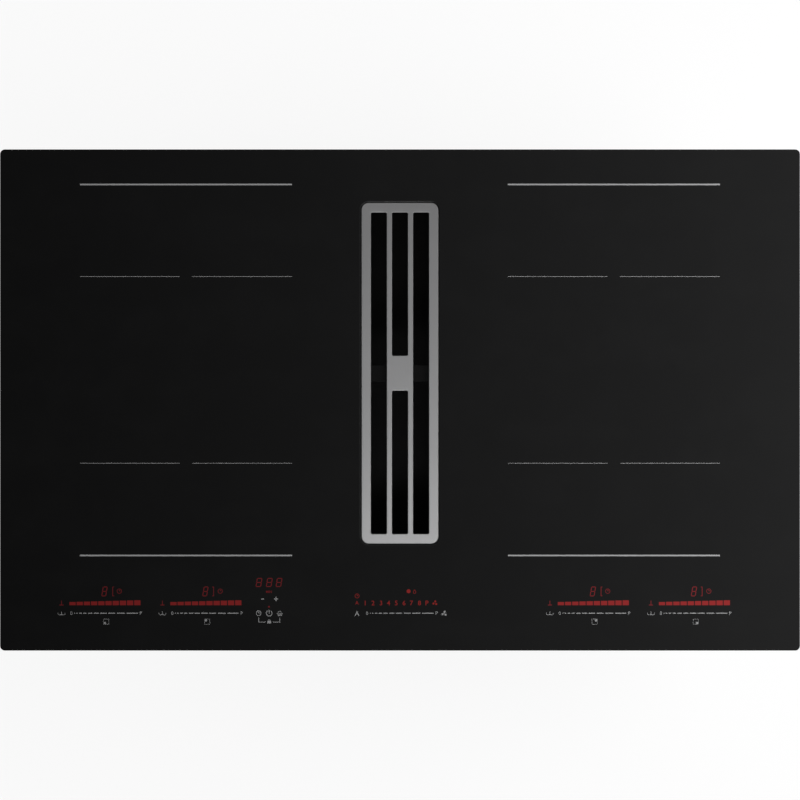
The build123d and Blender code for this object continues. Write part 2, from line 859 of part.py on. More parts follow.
def duct_casing():
    """The lower shell: skirt, floor, scroll wall, screw bosses and ears for the spigot."""
    shell = duct_slab(plastic_wall, 0.0, duct_roof)
    bosses = [peg(8, boss_radius, duct_roof - boss_height, duct_roof, at)
              for at in duct_boss_points()]
    shell = shell.fuse(*bosses)
    shell += block((duct_left - plastic_wall - spigot_ear, duct_right + plastic_wall + spigot_ear),
                   (duct_end_y - plastic_wall, duct_end_y),
                   (spigot_screw_z[0] - 10.0, spigot_screw_z[1] + 10.0))
    shell -= duct_slab(0.0, duct_floor, duct_roof)
    shell -= duct_slab(0.0, 0.0, skirt_height)
    shell -= block((duct_left, duct_right), (duct_end_y - 5, duct_end_y + 5),
                   (duct_floor, duct_roof))
    shell -= block((duct_left - 4, duct_right + 4), (duct_end_y - 5, duct_end_y + 5),
                   (-1.0, skirt_height))
    shell -= peg(motor_hole_sides, motor_radius + motor_room, skirt_height, duct_floor, fan_at)
    for at in grommet_places():
        shell -= peg(6, grommet_neck + 0.2, skirt_height, duct_floor, at)
    return shell


plenum_mouth = (window_ends[0] - 8.0, window_ends[1] + 8.0)
plenum_flange = 10.0


def mouth_normal(end):
    """Direction square to the plenum's slanted wall at the front (-1) or back (1), in degrees."""
    dx = -tub_wall_x - fan_x
    dy = plenum_mouth[0 if end < 0 else 1] - fan_y
    return degrees(atan2(dy, dx) + end * acos(plenum_radius / hypot(dx, dy)))


def plenum_face(grow):
    """Plan of the plenum: a round end over the fan, drawn out to the tub's windows."""
    round_end = Pos(*fan_at) * RegularPolygon(plenum_radius + grow, round_sides)
    low = plenum_mouth[0] + grow / sin(radians(mouth_normal(-1)))
    high = plenum_mouth[1] + grow / sin(radians(mouth_normal(1)))
    mouth = Pos(-tub_wall_x - 0.5, (low + high) / 2) * Rectangle(1.0, high - low)
    return make_hull(round_end.edges() + mouth.edges())


def plenum_slab(grow, low, high):
    return Pos(0, 0, low) * extrude(plenum_face(grow), high - low)


def plenum_screw_points():
    out = plastic_wall + head_room
    points = [polar(plenum_radius + out, angle, fan_at) for angle in (145.0, 235.0)]
    for end in (-1, 1):
        normal = mouth_normal(end)
        corner = (-tub_wall_x, plenum_mouth[0 if end < 0 else 1])
        points.append(polar(16.0, normal + end * 90, polar(out, normal, corner)))
    return points


def inlet_bell(grow):
    """The bell's bore, or its outside where it is grown by the wall: a throat and a flare."""
    throat = inlet_radius + grow
    flare = extrude(RegularPolygon(throat, round_sides), inlet_lip, taper=-inlet_flare)
    return (peg(round_sides, throat, duct_roof - throat_dip, plate_top, fan_at)
            + Pos(*fan_at, plate_top) * flare)


def duct_plate():
    """The plate between the duct and the plenum, with the fan's bell-shaped inlet."""
    lid = duct_slab(plastic_wall, duct_roof, plate_top)
    ears = [peg(8, boss_radius, duct_roof, plate_top, at) for at in duct_boss_points()]
    lid = lid.fuse(*ears)
    lid += plenum_slab(plastic_wall + plenum_flange, duct_roof, plate_top)
    return lid + inlet_bell(inlet_wall) - inlet_bell(0.0)


def hanger_points():
    """Where the plenum hangs from the tray's floor, between the rails of the left power board."""
    reach = board_size[0] / 2 - rail_inset - rail_width - hanger_gap
    return [polar(reach, angle, (-zone_centre_x, fan_y)) for angle in (60.0, 180.0, 300.0)]


def plenum_cover():
    """The upper shell, open to the tub's windows and down to the fan's inlet."""
    cover = plenum_slab(plastic_wall, plate_top, tray_under)
    cover += plenum_slab(plastic_wall + plenum_flange, plate_top, plate_top + plastic_wall)
    cover -= plenum_slab(0.0, plate_top, plenum_ceiling)
    cover -= block((-tub_wall_x - 2, 0), (-300, 300), (plate_top - 1, tray_under + 1))
    cover -= block((-tub_wall_x - 2.1, 0), (plenum_mouth[0], plenum_mouth[1]),
                   (plate_top - 1, plenum_ceiling))
    bosses = [peg(8, boss_radius, plenum_ceiling - 8.0, tray_under, at) for at in hanger_points()]
    return cover.fuse(*bosses)


def casing_screws():
    """Screw heads of the duct, the plenum and the spigot, and of the plenum's hangers."""
    up = [Location((*at, duct_roof - boss_height), (180, 0, 0)) * screw_cap()
          for at in duct_boss_points()]
    down = [Pos(*at, plate_top + plastic_wall) * screw_cap() for at in plenum_screw_points()]
    hang = [Pos(*at, tray_floor) * screw_cap() for at in hanger_points()]
    back = [Location((x, duct_end_y + spigot_flange, z), (-90, 0, 0)) * screw_cap()
            for x in spigot_screw_x for z in spigot_screw_z]
    return up + down + hang + back


def outlet_spigot():
    """The flat connector that the exhaust duct slips over."""
    middle = (duct_left + duct_right) / 2
    outer = (duct_inner[0] + 2 * spigot_wall, duct_inner[1] + 2 * spigot_wall)
    level = (duct_floor + duct_roof) / 2
    low, high = duct_end_y, duct_end_y + spigot_flange + spigot_length

    def tube(width, height, start, end, radius):
        face = RectangleRounded(width, height, radius)
        return Pos(middle, start, level) * Rot(90, 0, 0) * extrude(face, -(end - start))

    spigot = tube(outer[0], outer[1], low, high, 4.0)
    spigot += block((duct_left - plastic_wall - spigot_ear, duct_right + plastic_wall + spigot_ear),
                    (low, low + spigot_flange), (spigot_screw_z[0] - 10, spigot_screw_z[1] + 10))
    spigot -= block((duct_left, duct_right), (low, high), (duct_floor, duct_roof))
    return spigot


wheel_low = duct_floor + wheel_floor_gap
wheel_high = duct_roof - wheel_top_gap
wheel_height = wheel_high - wheel_low
disc_thickness = 2.0
cup_inner = motor_radius + cup_gap
hub_length = 7.0
hub_radius = 9.0
press_gap = 0.02
motor_plate_top = skirt_height - 1.5
motor_top = motor_plate_top + motor_height
cup_top = motor_top + 1.8 + hub_length


def wheel_blade():
    """One forward-curved blade: thin, bent once, and leading at its outer edge."""
    outer = wheel_radius - blade_inset
    inner = outer - blade_depth
    middle = (inner + outer) / 2

    def side(turn):
        bow = turn + blade_bow * blade_lead
        return [polar(inner, turn), polar(middle, bow), polar(outer, turn + blade_lead)]

    section = make_face(Polyline(*side(0.0), *reversed(side(blade_turn)), close=True))
    return Pos(0, 0, wheel_low) * extrude(section, wheel_height)


def impeller():
    """The fan wheel: back disc with a cup over the motor, blades and a shroud ring."""
    ring_inner = wheel_radius - blade_inset - blade_depth - 1.0
    wheel = peg(round_sides, wheel_radius, wheel_low, wheel_low + disc_thickness)
    shroud = peg(round_sides, wheel_radius, wheel_high - disc_thickness, wheel_high)
    shroud -= peg(round_sides, ring_inner, wheel_high - disc_thickness, wheel_high)
    cup = peg(round_sides, cup_inner + plastic_wall, wheel_low, cup_top)
    blades = [Rot(0, 0, i * 360 / wheel_blades) * wheel_blade() for i in range(wheel_blades)]
    wheel = wheel.fuse(cup, shroud, *blades)
    wheel -= peg(round_sides, cup_inner, wheel_low, cup_top - plastic_wall)
    wheel += peg(12, hub_radius, cup_top - hub_length, cup_top)
    wheel -= disc(shaft_radius + press_gap, wheel_low, cup_top)
    return Pos(*fan_at, 0) * wheel


motor_plate_under = motor_plate_top - 2.0
motor_plate_radius = motor_radius + 23.0
grommet_circle = motor_radius + 15.0
grommet_neck = 4.0
grommet_bore = 2.2
grommet_lip = 1.5
bearing_radius = 8.0
bearing_height = 5.0


def grommet_places():
    return [polar(grommet_circle, angle, fan_at) for angle in (90.0, 210.0, 330.0)]


def motor_plate():
    carrier = peg(18, motor_plate_radius, motor_plate_under, motor_plate_top)
    slot = Pos(32.0, 0, (motor_plate_under + motor_plate_top) / 2) * Box(16.0, 5.0, 6.0)
    carrier -= [Rot(0, 0, i * 60.0) * slot for i in range(6)]
    carrier = Pos(*fan_at, 0) * carrier
    return carrier - [peg(6, grommet_bore, motor_plate_under, motor_plate_top, at)
                      for at in grommet_places()]


def motor_grommets():
    """Rubber bushes that hold the motor plate off the duct's floor."""
    bushes = []
    for at in grommet_places():
        bush = peg(6, 7.0, motor_plate_top, skirt_height, at)
        bush += peg(6, grommet_neck, skirt_height, duct_floor, at)
        bush += peg(6, 7.0, duct_floor, duct_floor + grommet_lip, at)
        bushes.append(bush - peg(6, grommet_bore, motor_plate_top, duct_floor + grommet_lip, at))
    return bushes


def motor_screws():
    length = duct_floor + grommet_lip - motor_plate_under + 3.0
    return [Location((*at, motor_plate_under), (180, 0, 0)) * screw(length, 2.0)
            for at in grommet_places()]


bearing_lows = (motor_plate_top + 4.0, motor_top - 4.0 - bearing_height)


def motor_stator():
    """The motor's fixed can, standing on its plate inside the wheel's cup."""
    can = peg(round_sides, motor_radius, motor_plate_top, motor_top, fan_at)
    return can - peg(10, bearing_radius + press_gap, bearing_lows[0], motor_top, fan_at)


def motor_bearings():
    return [peg(10, bearing_radius, low, low + bearing_height, fan_at)
            - disc(shaft_radius + running_gap, low, low + bearing_height, fan_at)
            for low in bearing_lows]


def fan_shaft():
    return disc(shaft_radius, bearing_lows[0] + 0.5, cup_top, fan_at)


# ---- Boxes under the tray ----
box_wall = 2.0
ear_thickness = 3.0
driver_at = (tub_wall_x + 24.0 + driver_box[0] / 2, -55.0)
terminal_at = (tub_wall_x + 24.5 + terminal_box[0] / 2, box_depth / 2 - 54.0)


def box_ears(at, size):
    """Ears on the two short sides of a box, screwed to the tray's floor."""
    return [(at[0] + side * (size[0] / 2 + 5.0), at[1]) for side in (-1, 1)]


def driver_ears():
    return box_ears(driver_at, driver_box)


def terminal_ears():
    return box_ears(terminal_at, terminal_box)


def hanging_box(at, size, ears):
    """A moulded box, open below, that hangs from the tray's floor by its ears."""
    low, high = tray_under - size[2], tray_under
    shell = plate(size[0], size[1], low, high, at, cut=4.0)
    shell = shell.fuse(*[peg(8, 6.5, high - ear_thickness, high, ear) for ear in ears])
    shell -= plate(size[0] - 2 * box_wall, size[1] - 2 * box_wall, low, high - box_wall, at,
                   cut=3.0)
    return shell


def box_lid(at, size):
    """A lid with a row of ribs, set inside the box's open side."""
    low = tray_under - size[2]
    gap = 0.2
    lid = plate(size[0] - 2 * (box_wall + gap), size[1] - 2 * (box_wall + gap),
                low, low + box_wall, at, cut=3.0)
    for i in range(5):
        y = at[1] + (i - 2) * size[1] / 7
        lid += block((at[0] - size[0] / 3, at[0] + size[0] / 3), (y - 1, y + 1), (low - 1, low + 1))
    return lid


def gland_centre():
    return (terminal_at[0], terminal_at[1] + terminal_box[1] / 2, tray_under - terminal_box[2] / 2)


def terminal_housing():
    """The mains box with the round entry for the supply cable in its back wall."""
    shell = hanging_box(terminal_at, terminal_box, terminal_ears())
    x, y, z = gland_centre()
    along = Rot(90, 0, 0)
    collar = peg(12, gland_radius + 3.5, 0.0, gland_length)
    shell += Pos(x, y - box_wall + gland_length, z) * along * collar
    return shell - Pos(x, y, z) * along * Cylinder(gland_radius, 4 * gland_length)


def terminal_block():
    """Five screw terminals for the supply wires."""
    low = tray_under - box_wall - 14.0
    body = block((terminal_at[0] - 40, terminal_at[0] + 40), (terminal_at[1] - 22, terminal_at[1]),
                 (low, tray_under - box_wall))
    for i in range(5):
        x = terminal_at[0] + (i - 2) * 15.0
        body -= block((x - 5, x + 5), (terminal_at[1] - 12, terminal_at[1] + 1), (low - 1, low + 7))
    return body


def box_screws():
    return [Location((*at, tray_under - ear_thickness), (180, 0, 0)) * screw_cap()
            for at in driver_ears() + terminal_ears()]


# ---- Clamps that pull the cooktop down on the worktop ----
clamp_top = tray_under - 1.0
clamp_screw_radius = 2.3
pivot_gap = 0.08


def clamp_place(end, at):
    """Stowed, a clamp points along the side of the tray towards its middle."""
    return Pos(*at, 0) * Rot(0, 0, -90 * end)


def clamp_arm(end, at):
    """The joggled strap that swings out under the worktop."""
    low, drop = clamp_top - clamp_thickness, clamp_joggle
    tip = clamp_reach + clamp_width / 2
    start = -clamp_width / 2
    profile = Polyline((start, clamp_top), (14, clamp_top), (20, clamp_top - drop),
                       (tip, clamp_top - drop), (tip, low - drop), (19, low - drop), (13, low),
                       (start, low), close=True)
    strap = extrude(Plane.XZ * make_face(profile), clamp_width / 2, both=True)
    strap &= plate(clamp_reach + clamp_width, clamp_width, low - drop, clamp_top,
                   (clamp_reach / 2, 0), cut=4.5)
    strap -= disc(clamp_bolt_radius + pivot_gap, low, clamp_top)
    strap -= peg(6, clamp_screw_radius + screw_clearance, low - drop, clamp_top, (clamp_reach, 0))
    return clamp_place(end, at) * strap


def clamp_screw(end, at):
    """The screw at the strap's tip, which is driven up against the worktop."""
    strap_low = clamp_top - clamp_joggle - clamp_thickness
    low, tip = strap_low - 7.0, (clamp_reach, 0)
    bolt = peg(6, clamp_screw_radius, low, clamp_top - 0.5, tip)
    bolt += peg(6, clamp_head[0], low - clamp_head[1], low, tip)
    bolt += peg(6, 5.0, clamp_top - 2.5, clamp_top - 0.5, tip)
    return clamp_place(end, at) * bolt


def clamp_bolts():
    """Shoulder bolts that the clamps swing on: a head, a shank and a shoulder under the tray."""
    low = clamp_top - clamp_thickness - clamp_play
    bolts = []
    for side, end, at in clamp_pivots():
        bolt = disc(clamp_bolt_radius, low, clamp_top + clamp_play, at)
        bolt += peg(6, clamp_head[0], low - clamp_head[1], low, at)
        bolts.append(bolt + peg(6, clamp_shoulder, clamp_top + clamp_play, tray_under, at))
    return bolts


# ---- Everything is made and written ----
def main():
    os.makedirs("parts", exist_ok=True)
    sides = {"left": -1, "right": 1}

    save("glass_plate", glass_plate())
    save("worktop_seal", worktop_seal())
    save("bond_beads", *bond_beads())
    save("support_frame", support_frame())
    save("base_tray", base_tray())
    save("side_screws", *side_screws())

    save("power_boards", *[power_board(side) for side in sides.values()])
    save("heatsinks", *[heatsink(side) for side in sides.values()])
    save("capacitors", *[can for side in sides.values() for can in capacitors(side)])
    save("chokes", *[choke(side) for side in sides.values()])
    save("blower_housings", *[blower_housing(side) for side in sides.values()])
    for name, side in sides.items():
        save(f"blower_rotor_{name}", blower_rotor(side))
    save("coil_plates", *[coil_plate(side) for side in sides.values()])
    save("mica_sheets", *[mica_sheet(side) for side in sides.values()])
    save("coil_posts", *coil_posts())
    for name, at in zone_centres().items():
        save(f"coil_{name}", coil(at))
    centres = list(zone_centres().values())
    save("coil_formers", *[coil_former(at) for at in centres])
    save("coil_ferrites", *[bar for at in centres for bar in ferrites(at)])
    save("coil_sensors", *[coil_sensor(at) for at in centres])

    save("touch_carrier", touch_carrier())
    save("touch_boards", *[touch_board(span) for span in touch_board_spans()])
    save("led_displays", *led_displays())

    save("well_collar", well_collar())
    save("intake_tub", intake_tub())
    save("overflow_tray", overflow_tray())
    save("filter_frame", filter_frame())
    save("filter_meshes", *[filter_mesh(side) for side in sides.values()])
    save("filter_handle", filter_handle())
    save("grille", grille())
    save("grille_pads", *grille_pads())

    save("duct_casing", duct_casing())
    save("duct_plate", duct_plate())
    save("plenum_cover", plenum_cover())
    save("outlet_spigot", outlet_spigot())
    save("casing_screws", *casing_screws(), *tub_screws(), *box_screws())
    save("impeller", impeller())
    save("fan_shaft", fan_shaft())
    save("motor_stator", motor_stator())
    save("motor_bearings", *motor_bearings())
    save("motor_plate", motor_plate())
    save("motor_grommets", *motor_grommets())
    save("motor_screws", *motor_screws())

    save("driver_housing", hanging_box(driver_at, driver_box, driver_ears()))
    save("driver_lid", box_lid(driver_at, driver_box))
    save("terminal_housing", terminal_housing())
    save("terminal_lid", box_lid(terminal_at, terminal_box))
    save("terminal_block", terminal_block())

    ends = {-1: "front", 1: "rear"}
    for side, end, at in clamp_pivots():
        place = f"{ends[end]}_{'left' if side < 0 else 'right'}"
        save(f"clamp_arm_{place}", clamp_arm(end, at))
        save(f"clamp_screw_{place}", clamp_screw(end, at))
    save("clamp_bolts", *clamp_bolts())


main()
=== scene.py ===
import bmesh
import bpy
import json
import math
from mathutils import Matrix, Vector


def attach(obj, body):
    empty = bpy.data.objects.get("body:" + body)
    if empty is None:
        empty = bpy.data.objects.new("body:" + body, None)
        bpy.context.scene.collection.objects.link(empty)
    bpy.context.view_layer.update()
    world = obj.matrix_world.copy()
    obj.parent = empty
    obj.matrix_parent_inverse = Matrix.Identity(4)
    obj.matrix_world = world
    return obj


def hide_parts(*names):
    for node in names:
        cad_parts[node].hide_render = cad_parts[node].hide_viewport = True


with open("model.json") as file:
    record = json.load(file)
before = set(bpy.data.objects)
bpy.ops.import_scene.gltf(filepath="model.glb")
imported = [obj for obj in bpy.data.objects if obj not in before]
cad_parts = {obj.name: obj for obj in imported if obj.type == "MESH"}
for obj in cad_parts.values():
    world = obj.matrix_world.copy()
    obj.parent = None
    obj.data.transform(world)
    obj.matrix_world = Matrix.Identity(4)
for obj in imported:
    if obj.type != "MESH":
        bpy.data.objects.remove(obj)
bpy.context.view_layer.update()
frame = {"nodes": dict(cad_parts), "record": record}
print("frame loaded with", len(frame["nodes"]), "nodes")


# a group that takes a place and the given inputs, with the sockets they come in by
def newGroup(name, **inputs):
    group = bpy.data.node_groups.new(name, "ShaderNodeTree")
    for label, value in {"Vector": (0.0, 0.0, 0.0), **inputs}.items():
        kind = "NodeSocketVector" if isinstance(value, tuple) else "NodeSocketFloat"
        group.interface.new_socket(label, in_out="INPUT", socket_type=kind).default_value = value
    start = group.nodes.new("NodeGroupInput")
    return group, [start.outputs[label] for label in ("Vector", *inputs)]


def finishGroup(group, **masks):
    for label in masks:
        group.interface.new_socket(label, in_out="OUTPUT", socket_type="NodeSocketFloat")
    end = group.nodes.new("NodeGroupOutput")
    for label, socket in masks.items():
        group.links.new(socket, end.inputs[label])
    return group


# an input goes by its label, or by its number after an i
def addNode(tree, kind, settings=None, **inputs):
    node = tree.nodes.new(kind)
    for key, value in (settings or {}).items():
        setattr(node, key, value)
    for key, value in inputs.items():
        socket = node.inputs[int(key[1:])] if key[0] == "i" and key[1:].isdigit() else node.inputs[key]
        if isinstance(value, bpy.types.NodeSocket):
            tree.links.new(value, socket)
        else:
            socket.default_value = value
    return node


# one step of arithmetic on numbers or sockets
def compute(tree, operation, *values):
    inputs = {"i" + str(i): value for i, value in enumerate(values)}
    return addNode(tree, "ShaderNodeMath", {"operation": operation}, **inputs).outputs[0]


def addNoise(tree, place, scale, detail, **more):
    return addNode(tree, "ShaderNodeTexNoise", Vector=place, Scale=scale, Detail=detail, **more).outputs[0]


# leathery grain of moulded plastic, with a slow drift in its shine
def buildMouldedGrain():
    group, (place, scale) = newGroup("mouldedGrain", Scale=900.0)
    cells = addNode(group, "ShaderNodeTexVoronoi", {"feature": "SMOOTH_F1"}, Vector=place, Scale=scale)
    fine = addNoise(group, place, scale, 3.0)
    height = compute(group, "MULTIPLY_ADD", cells.outputs["Distance"], 0.6, fine)
    return finishGroup(group, Height=height, Drift=addNoise(group, place, 9.0, 4.0))


# zinc spangle and faint rolling lines of galvanised sheet
def buildRolledSheet():
    group, (place, scale) = newGroup("rolledSheet", Scale=90.0)
    warp = addNode(group, "ShaderNodeTexNoise", Vector=place, Scale=60.0, Detail=2.0)
    bent = addNode(group, "ShaderNodeVectorMath", {"operation": "MULTIPLY_ADD"},
                   i0=warp.outputs["Color"], i1=(0.006, 0.006, 0.006), i2=place)
    cells = addNode(group, "ShaderNodeTexVoronoi", {"feature": "F1"}, Vector=bent.outputs[0], Scale=scale)
    grey = addNode(group, "ShaderNodeSeparateColor", Color=cells.outputs["Color"])
    stretched = addNode(group, "ShaderNodeMapping", Vector=place, Scale=(12.0, 900.0, 900.0))
    lines = addNoise(group, stretched.outputs[0], 1.0, 3.0)
    return finishGroup(group, Spangle=grey.outputs[0], Lines=lines,
                       Drift=addNoise(group, place, 7.0, 5.0))


# fine lines along one axis, as brushing, drawing or turning leaves them
def buildDirectionalGrain():
    group, (place, stretch) = newGroup("directionalGrain", Stretch=(1500.0, 25.0, 1500.0))
    stretched = addNode(group, "ShaderNodeVectorMath", {"operation": "MULTIPLY"}, i0=place, i1=stretch)
    return finishGroup(group, Lines=addNoise(group, stretched.outputs[0], 1.0, 4.0),
                       Drift=addNoise(group, place, 14.0, 4.0))


# small pores or grains over a cloudy base
def buildSpeckle():
    group, (place, scale) = newGroup("speckle", Scale=700.0)
    cells = addNode(group, "ShaderNodeTexVoronoi", Vector=place, Scale=scale)
    pores = addNode(group, "ShaderNodeMapRange", Value=cells.outputs["Distance"])
    pores.inputs["From Min"].default_value, pores.inputs["From Max"].default_value = 0.15, 0.55
    return finishGroup(group, Pores=pores.outputs[0], Cloud=addNoise(group, place, 22.0, 6.0))


# wiped streaks and small smears that only shift the shine
def buildHandling():
    group, (place,) = newGroup("handling")
    wide = addNode(group, "ShaderNodeMapping", Vector=place, Scale=(3.0, 11.0, 3.0),
                   Rotation=(0.0, 0.0, 0.35))
    streaks = addNoise(group, wide.outputs[0], 1.6, 7.0, Distortion=0.4)
    both = compute(group, "MULTIPLY", streaks, addNoise(group, place, 26.0, 3.0))
    spread = addNode(group, "ShaderNodeMapRange", Value=both)
    spread.inputs["From Min"].default_value, spread.inputs["From Max"].default_value = 0.18, 0.36
    return finishGroup(group, Smear=spread.outputs[0])


effects = {
    "grain": buildMouldedGrain(),
    "sheet": buildRolledSheet(),
    "lines": buildDirectionalGrain(),
    "speckle": buildSpeckle(),
    "handling": buildHandling(),
}
print("shader effects built")


# inputs 6 and 7 and output 2 are the colours of a mix node
def shiftColour(tree, mask, dark, light):
    mix = addNode(tree, "ShaderNodeMix", {"data_type": "RGBA"})
    tree.links.new(mask, mix.inputs["Factor"])
    mix.inputs[6].default_value = (*dark, 1.0)
    mix.inputs[7].default_value = (*light, 1.0)
    return mix.outputs[2]


def shiftValue(tree, mask, low, high):
    span = addNode(tree, "ShaderNodeMapRange", Value=mask)
    span.inputs["To Min"].default_value, span.inputs["To Max"].default_value = low, high
    return span.outputs[0]


def newMaterial(name):
    material = bpy.data.materials.new(name)
    material.use_nodes = True
    tree = material.node_tree
    place = tree.nodes.new("ShaderNodeTexCoord").outputs["Object"]
    return material, tree, tree.nodes["Principled BSDF"], place


def addBump(tree, shader, height, strength, distance):
    bump = addNode(tree, "ShaderNodeBump", Height=height, Strength=strength, Distance=distance)
    tree.links.new(bump.outputs[0], shader.inputs["Normal"])


# which of an effect's masks moves the colour, the roughness and the relief
effectMasks = {
    "grain": ("Drift", "Drift", "Height"),
    "sheet": ("Spangle", "Drift", "Lines"),
    "lines": ("Drift", "Lines", "Lines"),
    "speckle": ("Cloud", "Cloud", "Pores"),
    "handling": ("Smear", "Smear", "Smear"),
}


# a surface between two tones and two roughnesses
def makeMaterial(name, dark, light, rough, effect, metallic=0.0, scale=None, stretch=None,
                 bump=0.0, depth=0.0001, **fixed):
    material, tree, shader, place = newMaterial(name)
    group = addNode(tree, "ShaderNodeGroup", {"node_tree": effects[effect]}, Vector=place)
    if scale:
        group.inputs["Scale"].default_value = scale
    if stretch:
        group.inputs["Stretch"].default_value = stretch
    colourMask, roughMask, heightMask = (group.outputs[mask] for mask in effectMasks[effect])
    tree.links.new(shiftColour(tree, colourMask, dark, light), shader.inputs["Base Color"])
    tree.links.new(shiftValue(tree, roughMask, *rough), shader.inputs["Roughness"])
    if bump:
        addBump(tree, shader, heightMask, bump, depth)
    shader.inputs["Metallic"].default_value = metallic
    for label, value in fixed.items():
        shader.inputs[label.replace("_", " ")].default_value = value
    return material


materialSettings = {
    "blackGlass": dict(dark=(0.0012, 0.0012, 0.0013), light=(0.0019, 0.0019, 0.002), rough=(0.018, 0.05),
                       effect="handling", IOR=1.52),
    "groundEdge": dict(dark=(0.004, 0.0045, 0.0045), light=(0.012, 0.013, 0.013), rough=(0.16, 0.34),
                       effect="speckle", scale=2600.0, bump=0.15, depth=0.00005),
    "lineInk": dict(dark=(0.262, 0.262, 0.265), light=(0.302, 0.302, 0.305), rough=(0.45, 0.6),
                    effect="speckle", scale=3000.0, bump=0.1, depth=0.00002, Specular_IOR_Level=0.15),
    "markInk": dict(dark=(0.21, 0.21, 0.212), light=(0.25, 0.25, 0.252), rough=(0.45, 0.6),
                    effect="speckle", scale=3000.0, bump=0.1, depth=0.00002, Specular_IOR_Level=0.15),
    "grilleSatin": dict(dark=(0.268, 0.268, 0.271), light=(0.298, 0.298, 0.301), rough=(0.47, 0.53),
                        effect="lines", metallic=1.0, stretch=(2600.0, 60.0, 2600.0), bump=0.05,
                        depth=0.00003),
    "galvanised": dict(dark=(0.47, 0.48, 0.495), light=(0.56, 0.57, 0.585), rough=(0.34, 0.48),
                       effect="sheet", metallic=1.0, scale=170.0, bump=0.04, depth=0.0001),
    "frameSteel": dict(dark=(0.05, 0.05, 0.052), light=(0.085, 0.085, 0.088), rough=(0.36, 0.5),
                       effect="grain", scale=1800.0, metallic=0.3, bump=0.12),
    "ductPlastic": dict(dark=(0.012, 0.012, 0.0125), light=(0.021, 0.021, 0.022), rough=(0.42, 0.6),
                        effect="grain", scale=1300.0, bump=0.35),
    # the tub and tray are darker than black plastic renders: their own black plus painted shade of the deep
    # well under the grille
    "tubPlasticAndShade": dict(dark=(0.006, 0.006, 0.006), light=(0.011, 0.011, 0.011), rough=(0.5, 0.7),
                       effect="grain", scale=1500.0, bump=0.25, Specular_IOR_Level=0.3),
    "trayPlasticAndShade": dict(dark=(0.0025, 0.0025, 0.0025), light=(0.005, 0.005, 0.005), rough=(0.55, 0.75),
                        effect="grain", scale=1500.0, bump=0.2, Specular_IOR_Level=0.12),
    "boxPlastic": dict(dark=(0.075, 0.078, 0.082), light=(0.105, 0.108, 0.113), rough=(0.45, 0.6),
                       effect="grain", scale=1100.0, bump=0.3),
    "naturalNylon": dict(dark=(0.52, 0.50, 0.44), light=(0.62, 0.60, 0.54), rough=(0.35, 0.5),
                         effect="grain", scale=1500.0, bump=0.15, Subsurface_Weight=0.05),
    "sealFoam": dict(dark=(0.010, 0.010, 0.010), light=(0.022, 0.022, 0.022), rough=(0.8, 0.95),
                     effect="speckle", scale=1500.0, bump=0.7, depth=0.0003),
    "silicone": dict(dark=(0.16, 0.165, 0.17), light=(0.21, 0.215, 0.22), rough=(0.4, 0.55),
                     effect="speckle", scale=900.0, bump=0.15),
    "gripRubber": dict(dark=(0.015, 0.015, 0.015), light=(0.03, 0.03, 0.03), rough=(0.6, 0.8),
                       effect="speckle", scale=1800.0, bump=0.25),
    "zincPlate": dict(dark=(0.50, 0.51, 0.54), light=(0.66, 0.67, 0.69), rough=(0.22, 0.36),
                      effect="lines", metallic=1.0, stretch=(500.0, 500.0, 500.0), bump=0.06),
    "machinedSteel": dict(dark=(0.42, 0.42, 0.42), light=(0.56, 0.56, 0.56), rough=(0.16, 0.3),
                          effect="lines", metallic=1.0, stretch=(40.0, 40.0, 2600.0), bump=0.1),
    "castMotor": dict(dark=(0.24, 0.24, 0.25), light=(0.34, 0.34, 0.35), rough=(0.4, 0.58),
                      effect="speckle", metallic=0.85, scale=1600.0, bump=0.3, depth=0.0002),
    "sinkAluminium": dict(dark=(0.60, 0.60, 0.61), light=(0.74, 0.74, 0.75), rough=(0.3, 0.45),
                          effect="lines", metallic=1.0, stretch=(1200.0, 30.0, 1200.0), bump=0.08),
    "capacitorSleeve": dict(dark=(0.012, 0.018, 0.045), light=(0.02, 0.028, 0.07), rough=(0.25, 0.4),
                            effect="handling"),
    "chokeWinding": dict(dark=(0.30, 0.12, 0.05), light=(0.50, 0.22, 0.10), rough=(0.25, 0.4),
                         effect="lines", metallic=0.9, stretch=(150.0, 150.0, 2200.0), bump=0.4),
    "circuitBoard": dict(dark=(0.008, 0.055, 0.022), light=(0.016, 0.10, 0.04), rough=(0.3, 0.45),
                         effect="sheet", scale=260.0, bump=0.1),
    "micaSheet": dict(dark=(0.34, 0.29, 0.2), light=(0.52, 0.46, 0.34), rough=(0.3, 0.55),
                      effect="sheet", scale=160.0, bump=0.1),
    "coilWire": dict(dark=(0.36, 0.13, 0.05), light=(0.62, 0.27, 0.13), rough=(0.24, 0.42),
                     effect="lines", metallic=1.0, stretch=(900.0, 900.0, 900.0), bump=0.5, depth=0.0004),
    "ferriteBar": dict(dark=(0.028, 0.028, 0.03), light=(0.055, 0.055, 0.058), rough=(0.5, 0.7),
                       effect="speckle", scale=1200.0, bump=0.2),
    "displayBlock": dict(dark=(0.5, 0.5, 0.5), light=(0.62, 0.62, 0.62), rough=(0.4, 0.55),
                         effect="grain", scale=1200.0, bump=0.1),
    # the filter is darker than its black coat renders: its own black plus painted shade of the well seen
    # through the slots
    "filterCoatAndShade": dict(dark=(0.0025, 0.0025, 0.0025), light=(0.005, 0.005, 0.005), rough=(0.55, 0.75),
                       effect="grain", scale=2200.0, bump=0.25, Specular_IOR_Level=0.12),
    "filterMeshAndShade": dict(dark=(0.003, 0.003, 0.003), light=(0.006, 0.006, 0.006), rough=(0.5, 0.7),
                       effect="speckle", scale=1200.0, bump=0.15, Specular_IOR_Level=0.15),
    "clampSteel": dict(dark=(0.44, 0.44, 0.45), light=(0.58, 0.58, 0.6), rough=(0.26, 0.4),
                       effect="sheet", metallic=1.0, scale=140.0, bump=0.06),
}
materials = {name: makeMaterial(name, **settings) for name, settings in materialSettings.items()}
